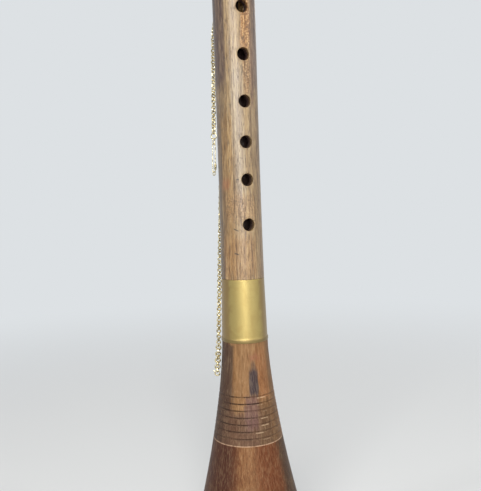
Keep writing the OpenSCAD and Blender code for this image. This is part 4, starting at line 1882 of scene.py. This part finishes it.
    def clasp_lever(self) -> Shape:
        """The gate that closes the clasp's gap, and the knob that opens it."""
        stand = self.clasp_stand()
        gate = 0.26
        path = []
        for k in range(31):
            turn = math.radians(mix(self.knob_turn - 8, self.clasp_gap[0] - 2, k / 30))
            path.append(stand.put(self.clasp * math.cos(turn), self.clasp * math.sin(turn)))
        shape = Shape()
        shape.sweep(path, gate, sides=12, facing=stand.normal())
        turn = math.radians(self.knob_turn)
        knob = []
        for k in range(13):
            reach = self.clasp + self.knob_length * k / 12
            knob.append(stand.put(reach * math.cos(turn), reach * math.sin(turn)))

        def domed(share: float) -> float:
            """Rounds the knob's end."""
            return math.sqrt(max(0.05, 1 - max(0.0, (share - 0.8) / 0.2) ** 2))

        shape.sweep(knob, self.knob, sides=12, facing=stand.normal(), girth=domed)
        return shape

    def build(self, bench: Bench) -> None:
        """Makes both runs and what hangs on them."""
        joints, metal = self.joints, Slot.CHAIN_METAL
        rise = UP * self.ring_rise
        turn = {name: joints.azimuth(name) for name in joints.by_name}
        a_top, b_top = joints.place("run_a_swing") + rise, joints.place("run_b_swing") + rise
        a_knee, b_knee = joints.place("run_a_bend"), joints.place("run_b_bend")
        a_end, b_bend = joints.place("jump_ring_swing"), joints.place("run_b_end_bend")
        b_end = joints.place("clasp_swing")
        bench.piece("split_ring", self.split_ring(), Body.RING, metal, "chain_ring")
        runs = (
            ("chain_a_upper", a_top, a_knee, "run_a_swing", "run_a_bend", Body.RUN_A, "strand_a_upper"),
            ("chain_a_lower", a_knee, a_end, "run_a_bend", "jump_ring_swing", Body.RUN_A_LOW, "strand_a_lower"),
            ("chain_b_upper", b_top, b_knee, "run_b_swing", "run_b_bend", Body.RUN_B, "strand_b_upper"),
            ("chain_b_lower", b_knee, b_bend, "run_b_bend", "run_b_end_bend", Body.RUN_B_LOW, "strand_b_lower"),
        )
        for name, top, low, first, last, body, node in runs:
            bow = direction(self.bow_azimuth) * self.bow if body is Body.RUN_A else None
            shape = self.run(top, low, (turn[first], turn[last]), self.fine, bow=bow)
            bench.piece(name, shape, body, metal, node)
        shape = self.run(b_bend, b_end, (turn["run_b_end_bend"], turn["clasp_swing"]), self.heavy, self.heavy_count)
        bench.piece("chain_b_end", shape, Body.RUN_B_END, metal, "strand_b_end")
        drop = self.drops()
        shape = self.round_ring(self.on_pin(drop["jump"]), self.jump, self.jump_wire / 2, gap=5)
        bench.piece("jump_ring", shape, Body.JUMP_RING, metal, "pin_ring")
        shape = self.drawn_link(self.on_pin(drop["link"], 90), self.link_length, self.link_width, self.fine.wire)
        bench.piece("small_link", shape, Body.JUMP_RING, metal, "pin_link")
        shape = self.drawn_link(self.on_pin(drop["loop"]), self.loop_length, self.loop_width, self.loop_wire)
        bench.piece("long_loop", shape, Body.PIN, metal, "pin_loop")
        shape = self.crimped_sleeve(self.on_pin(drop["sleeve"]))
        bench.piece("crimped_sleeve", shape, Body.PIN, metal, "pin_sleeve")
        shape = self.round_ring(self.on_pin(drop["ring"], 90), self.end_ring, self.loop_wire / 2)
        bench.piece("tiny_ring", shape, Body.END_RING, metal, "pin_end_ring")
        bench.piece("spring_clasp", self.clasp_tube(), Body.CLASP, metal, "clasp_ring")
        bench.piece("clasp_gate", self.clasp_lever(), Body.LEVER, metal, "clasp_lever")


VIEW_AZIMUTH = -112.8


def seen(turn: float) -> float:
    """The azimuth of a place that the photograph shows a turn to the right of the nearest line."""
    return VIEW_AZIMUTH + turn


def groove_rings(bell: Bell) -> tuple[Ring, ...]:
    """The dark lines in the bell's grooves, which are partly burnt lines and partly painted shade, the painted
    highlights on their lower lips, and the pale scribed line.
    """
    dark, pale = tone(34, 20, 14), tone(206, 178, 144)
    # For each groove, (turn, spread, strength): deep sets its painted shade line, worn sets the painted highlight on
    # its lower lip.
    deep = ((-8, 15, 0.5), (-16, 22, 0.7), (-30, 30, 0.7), (-18, 28, 0.6), (-30, 26, 0.6), (-6, 32, 0.9), (-16, 20, 0.7))
    worn = ((33, 8, 0.3), (20, 9, 0.6), (33, 9, 0.6), (33, 9, 0.6), (36, 6, 0.25), (26, 7, 0.35), (31, 12, 0.6))
    rings = []
    for i in range(bell.grooves):
        z = bell.groove_low + i * bell.groove_step
        turn, spread, strength = deep[i]
        # Dark groove bottoms all round: partly burnt lines, partly painted shade in the grooves.
        rings.append(Ring(z + 0.1, 0.5, tone(58, 38, 28), 0.25))
        # Painted shade: darker groove lines on the left-hand side in view.
        rings.append(Ring(z + 0.1, 0.45, dark, strength, seen(turn), spread * 1.3))
        turn, spread, strength = worn[i]
        # Painted highlight: pale lower lips on the right-hand side in view.
        rings.append(Ring(z - 0.6, 0.34, pale, strength * 0.75, seen(turn), spread))
    rings.append(Ring(bell.scribe, 0.4, tone(182, 150, 122), 0.8))
    return tuple(rings)


def tube_wood() -> Wood:
    """The tube's walnut, with its dark edge of heartwood, its patch of scaly figure, a painted highlight beside its
    lit stripe and painted shade on its right-hand side.
    """
    return Wood(
        "tube_walnut", base=tone(138, 114, 81), second=tone(152, 125, 87), pore=tone(46, 30, 22),
        roughness=0.35, gloss=0.78, bore_radius=6.5, contrast=1.0,
        patches=(
            Patch(seen(-62), 27, 262, 420, tone(72, 49, 42), 0.95, soft=10, fade=14),
            Patch(seen(-66), 20, 150, 268, tone(88, 68, 50), 0.8, soft=14, fade=12),
            Patch(seen(-34), 12, 150, 262, tone(148, 112, 64), 0.6, soft=10, fade=14),
            Patch(seen(32), 13, 287, 352, tone(168, 120, 68), 0.9, soft=5, fade=5, scales=1.0),
            Patch(seen(31), 7, 262, 290, tone(150, 110, 68), 0.7, soft=7, fade=8, scales=0.9),
            Patch(seen(64), 12, 262, 335, tone(100, 76, 68), 0.8, soft=8, fade=12),
            # Painted shade: the right-hand side in view is darkened.
            Patch(seen(70), 15, 150, 262, tone(122, 96, 70), 0.5, soft=10, fade=10),
            # Painted highlight: a pale patch that widens the lit stripe to the right of the middle.
            Patch(seen(2), 12, 208, 288, tone(166, 150, 126), 0.45, soft=8, fade=12),
            Patch(seen(47), 1.5, 256, 345, tone(92, 58, 36), 0.75, soft=3, fade=8, stray=0.03),
            Patch(seen(-40), 8, 212, 222, tone(146, 90, 58), 0.6, soft=8, fade=4),
            Patch(seen(0), 36, 194, 214, tone(162, 126, 84), 0.6, soft=14, fade=6, specks=0.7, scales=0.4),
            Patch(seen(-8), 40, 160, 192, tone(150, 110, 64), 0.6, soft=14, fade=8),
        ),
        nicks=(
            Nick(seen(-5), 219.5, 1.0, 0.5),
            Nick(seen(-14), 191.9, 2.0, 0.5, -0.45),
            Nick(seen(-13.5), 178.6, 1.7, 0.55, -0.35),
        ),
    )


def bell_wood(bell: Bell) -> Wood:
    """The bell's walnut: tan above, purple-brown at the grooves and red-brown below, with painted shade and
    highlights in the grooves and a paler front streak that is partly a painted highlight.
    """
    return Wood(
        "bell_walnut", base=tone(138, 102, 68), second=tone(148, 108, 70), pore=tone(38, 24, 18),
        roughness=0.46, gloss=0.12, period=3.4, plank=-50, contrast=0.5, pore_share=0.3,
        patches=(
            Patch(seen(180), 70, 60, 108, tone(108, 78, 54), 0.6, soft=24, fade=10),
            Patch(seen(-66), 26, 60, 130, tone(72, 52, 44), 0.95, soft=16, fade=3),
            Patch(seen(80), 14, 60, 130, tone(106, 78, 56), 0.7, soft=14, fade=3),
            Patch(seen(0), 40, 60, 93, tone(96, 70, 56), 0.9, soft=14, fade=5),
            Patch(seen(34), 10, 60, 88, tone(84, 62, 50), 0.7, soft=8, fade=6),
            Patch(seen(12), 12, 79, 101, tone(108, 79, 72), 0.9, soft=6, fade=4, stray=0.08),
            Patch(seen(38), 12, 94, 128, tone(136, 90, 58), 0.7, soft=8, fade=6),
            Patch(seen(44), 18, 60, 100, tone(102, 75, 53), 0.75, soft=10, fade=8),
            Patch(seen(16), 7, 97, 116, tone(68, 56, 57), 1.0, soft=5, fade=4, stray=0.05),
            Patch(seen(18), 2.5, 112, 120, tone(74, 58, 54), 0.8, soft=4, fade=4, stray=0.03),
            Patch(seen(20), 8, 117, 124, tone(144, 90, 72), 0.6, soft=8, fade=4),
            Patch(seen(0), 180, -20, 72.4, tone(106, 66, 42), 1.0, fade=0.6),
            Patch(seen(-62), 28, -20, 72.4, tone(74, 44, 34), 0.95, soft=22, fade=0.6),
            # A paler streak down the front of the lower bell: partly the wood, partly a painted highlight facing the
            # lamps.
            Patch(seen(3), 8, -20, 72.4, tone(134, 93, 59), 0.75, soft=14, fade=0.6),
            Patch(seen(30), 12, -20, 72.4, tone(104, 58, 34), 0.75, soft=14, fade=0.6),
            Patch(seen(74), 14, -20, 72.4, tone(66, 48, 34), 0.85, soft=12, fade=0.6),
        ),
        rings=groove_rings(bell),
    )


def finishes(bell: Bell) -> dict[Slot, bpy.types.Material]:
    """Makes the material of every slot."""
    fork_wood = Wood(
        "fork_boxwood", base=tone(182, 146, 94), second=tone(196, 160, 106), pore=tone(110, 76, 44),
        shade=(0.62, 0.55, 0.46, 1.0), roughness=0.4, period=1.4, pore_share=0.3, contrast=0.7,
    )
    band_brass = Brass(
        "band_brass", tone(176, 155, 95), tone(162, 138, 80), 0.42, lacquer=0.45,
        shade_and_tarnish=(
            # Painted shade: the band's left and right sides in view are darkened.
            Patch(seen(-70), 18, 100, 400, tone(146, 118, 74), 0.8, soft=20, fade=8),
            Patch(seen(72), 16, 100, 400, tone(146, 120, 78), 0.8, soft=16, fade=8),
            # Painted shade: the bead ring is darkened to dim its highlight.
            Patch(seen(0), 180, 126, 130.9, tone(128, 108, 66), 0.8, fade=0.5),
        ),
    )
    # The blot colour: partly patina, partly painted shade between the links.
    gilt_wire = Gilt("gilt_wire", tone(250, 240, 206), tone(232, 208, 144), tone(110, 94, 56), 0.15, 0.75)
    return {
        Slot.TUBE_WOOD: tube_wood().build(),
        Slot.BELL_WOOD: bell_wood(bell).build(),
        Slot.FORK_WOOD: fork_wood.build(),
        Slot.BAND_BRASS: band_brass.build(),
        Slot.STAPLE_BRASS: Brass("staple_brass", tone(200, 172, 104), tone(162, 134, 76), 0.32, 0.16).build(),
        Slot.CHAIN_METAL: gilt_wire.build(),
        Slot.LAPPING: Thread("waxed_thread", tone(148, 44, 34), tone(84, 18, 16), tone(176, 104, 84), 0.5).build(),
        Slot.CANE: Cane("reed_cane", tone(188, 146, 76), tone(202, 170, 112), tone(144, 102, 54),
                        tone(160, 116, 66), 445.0, 457.5).build(),
    }


def main() -> None:
    """Builds the camera, the studio and every piece of the zurna."""
    logging.basicConfig(level=logging.INFO, format="%(name)s: %(message)s")
    camera = PhotoCamera()
    camera.build()
    Studio().build(camera)
    joints = Joints(frame["joints"])
    bell = Bell()
    bench = Bench(finishes(bell))
    bell.build(bench)
    Tube().build(bench, joints)
    Fork().build(bench)
    Mouthpiece().build(bench)
    Chains(joints).build(bench)
    log.info("%d pieces", len(bench.made))


if __name__ == "__main__":
    main()
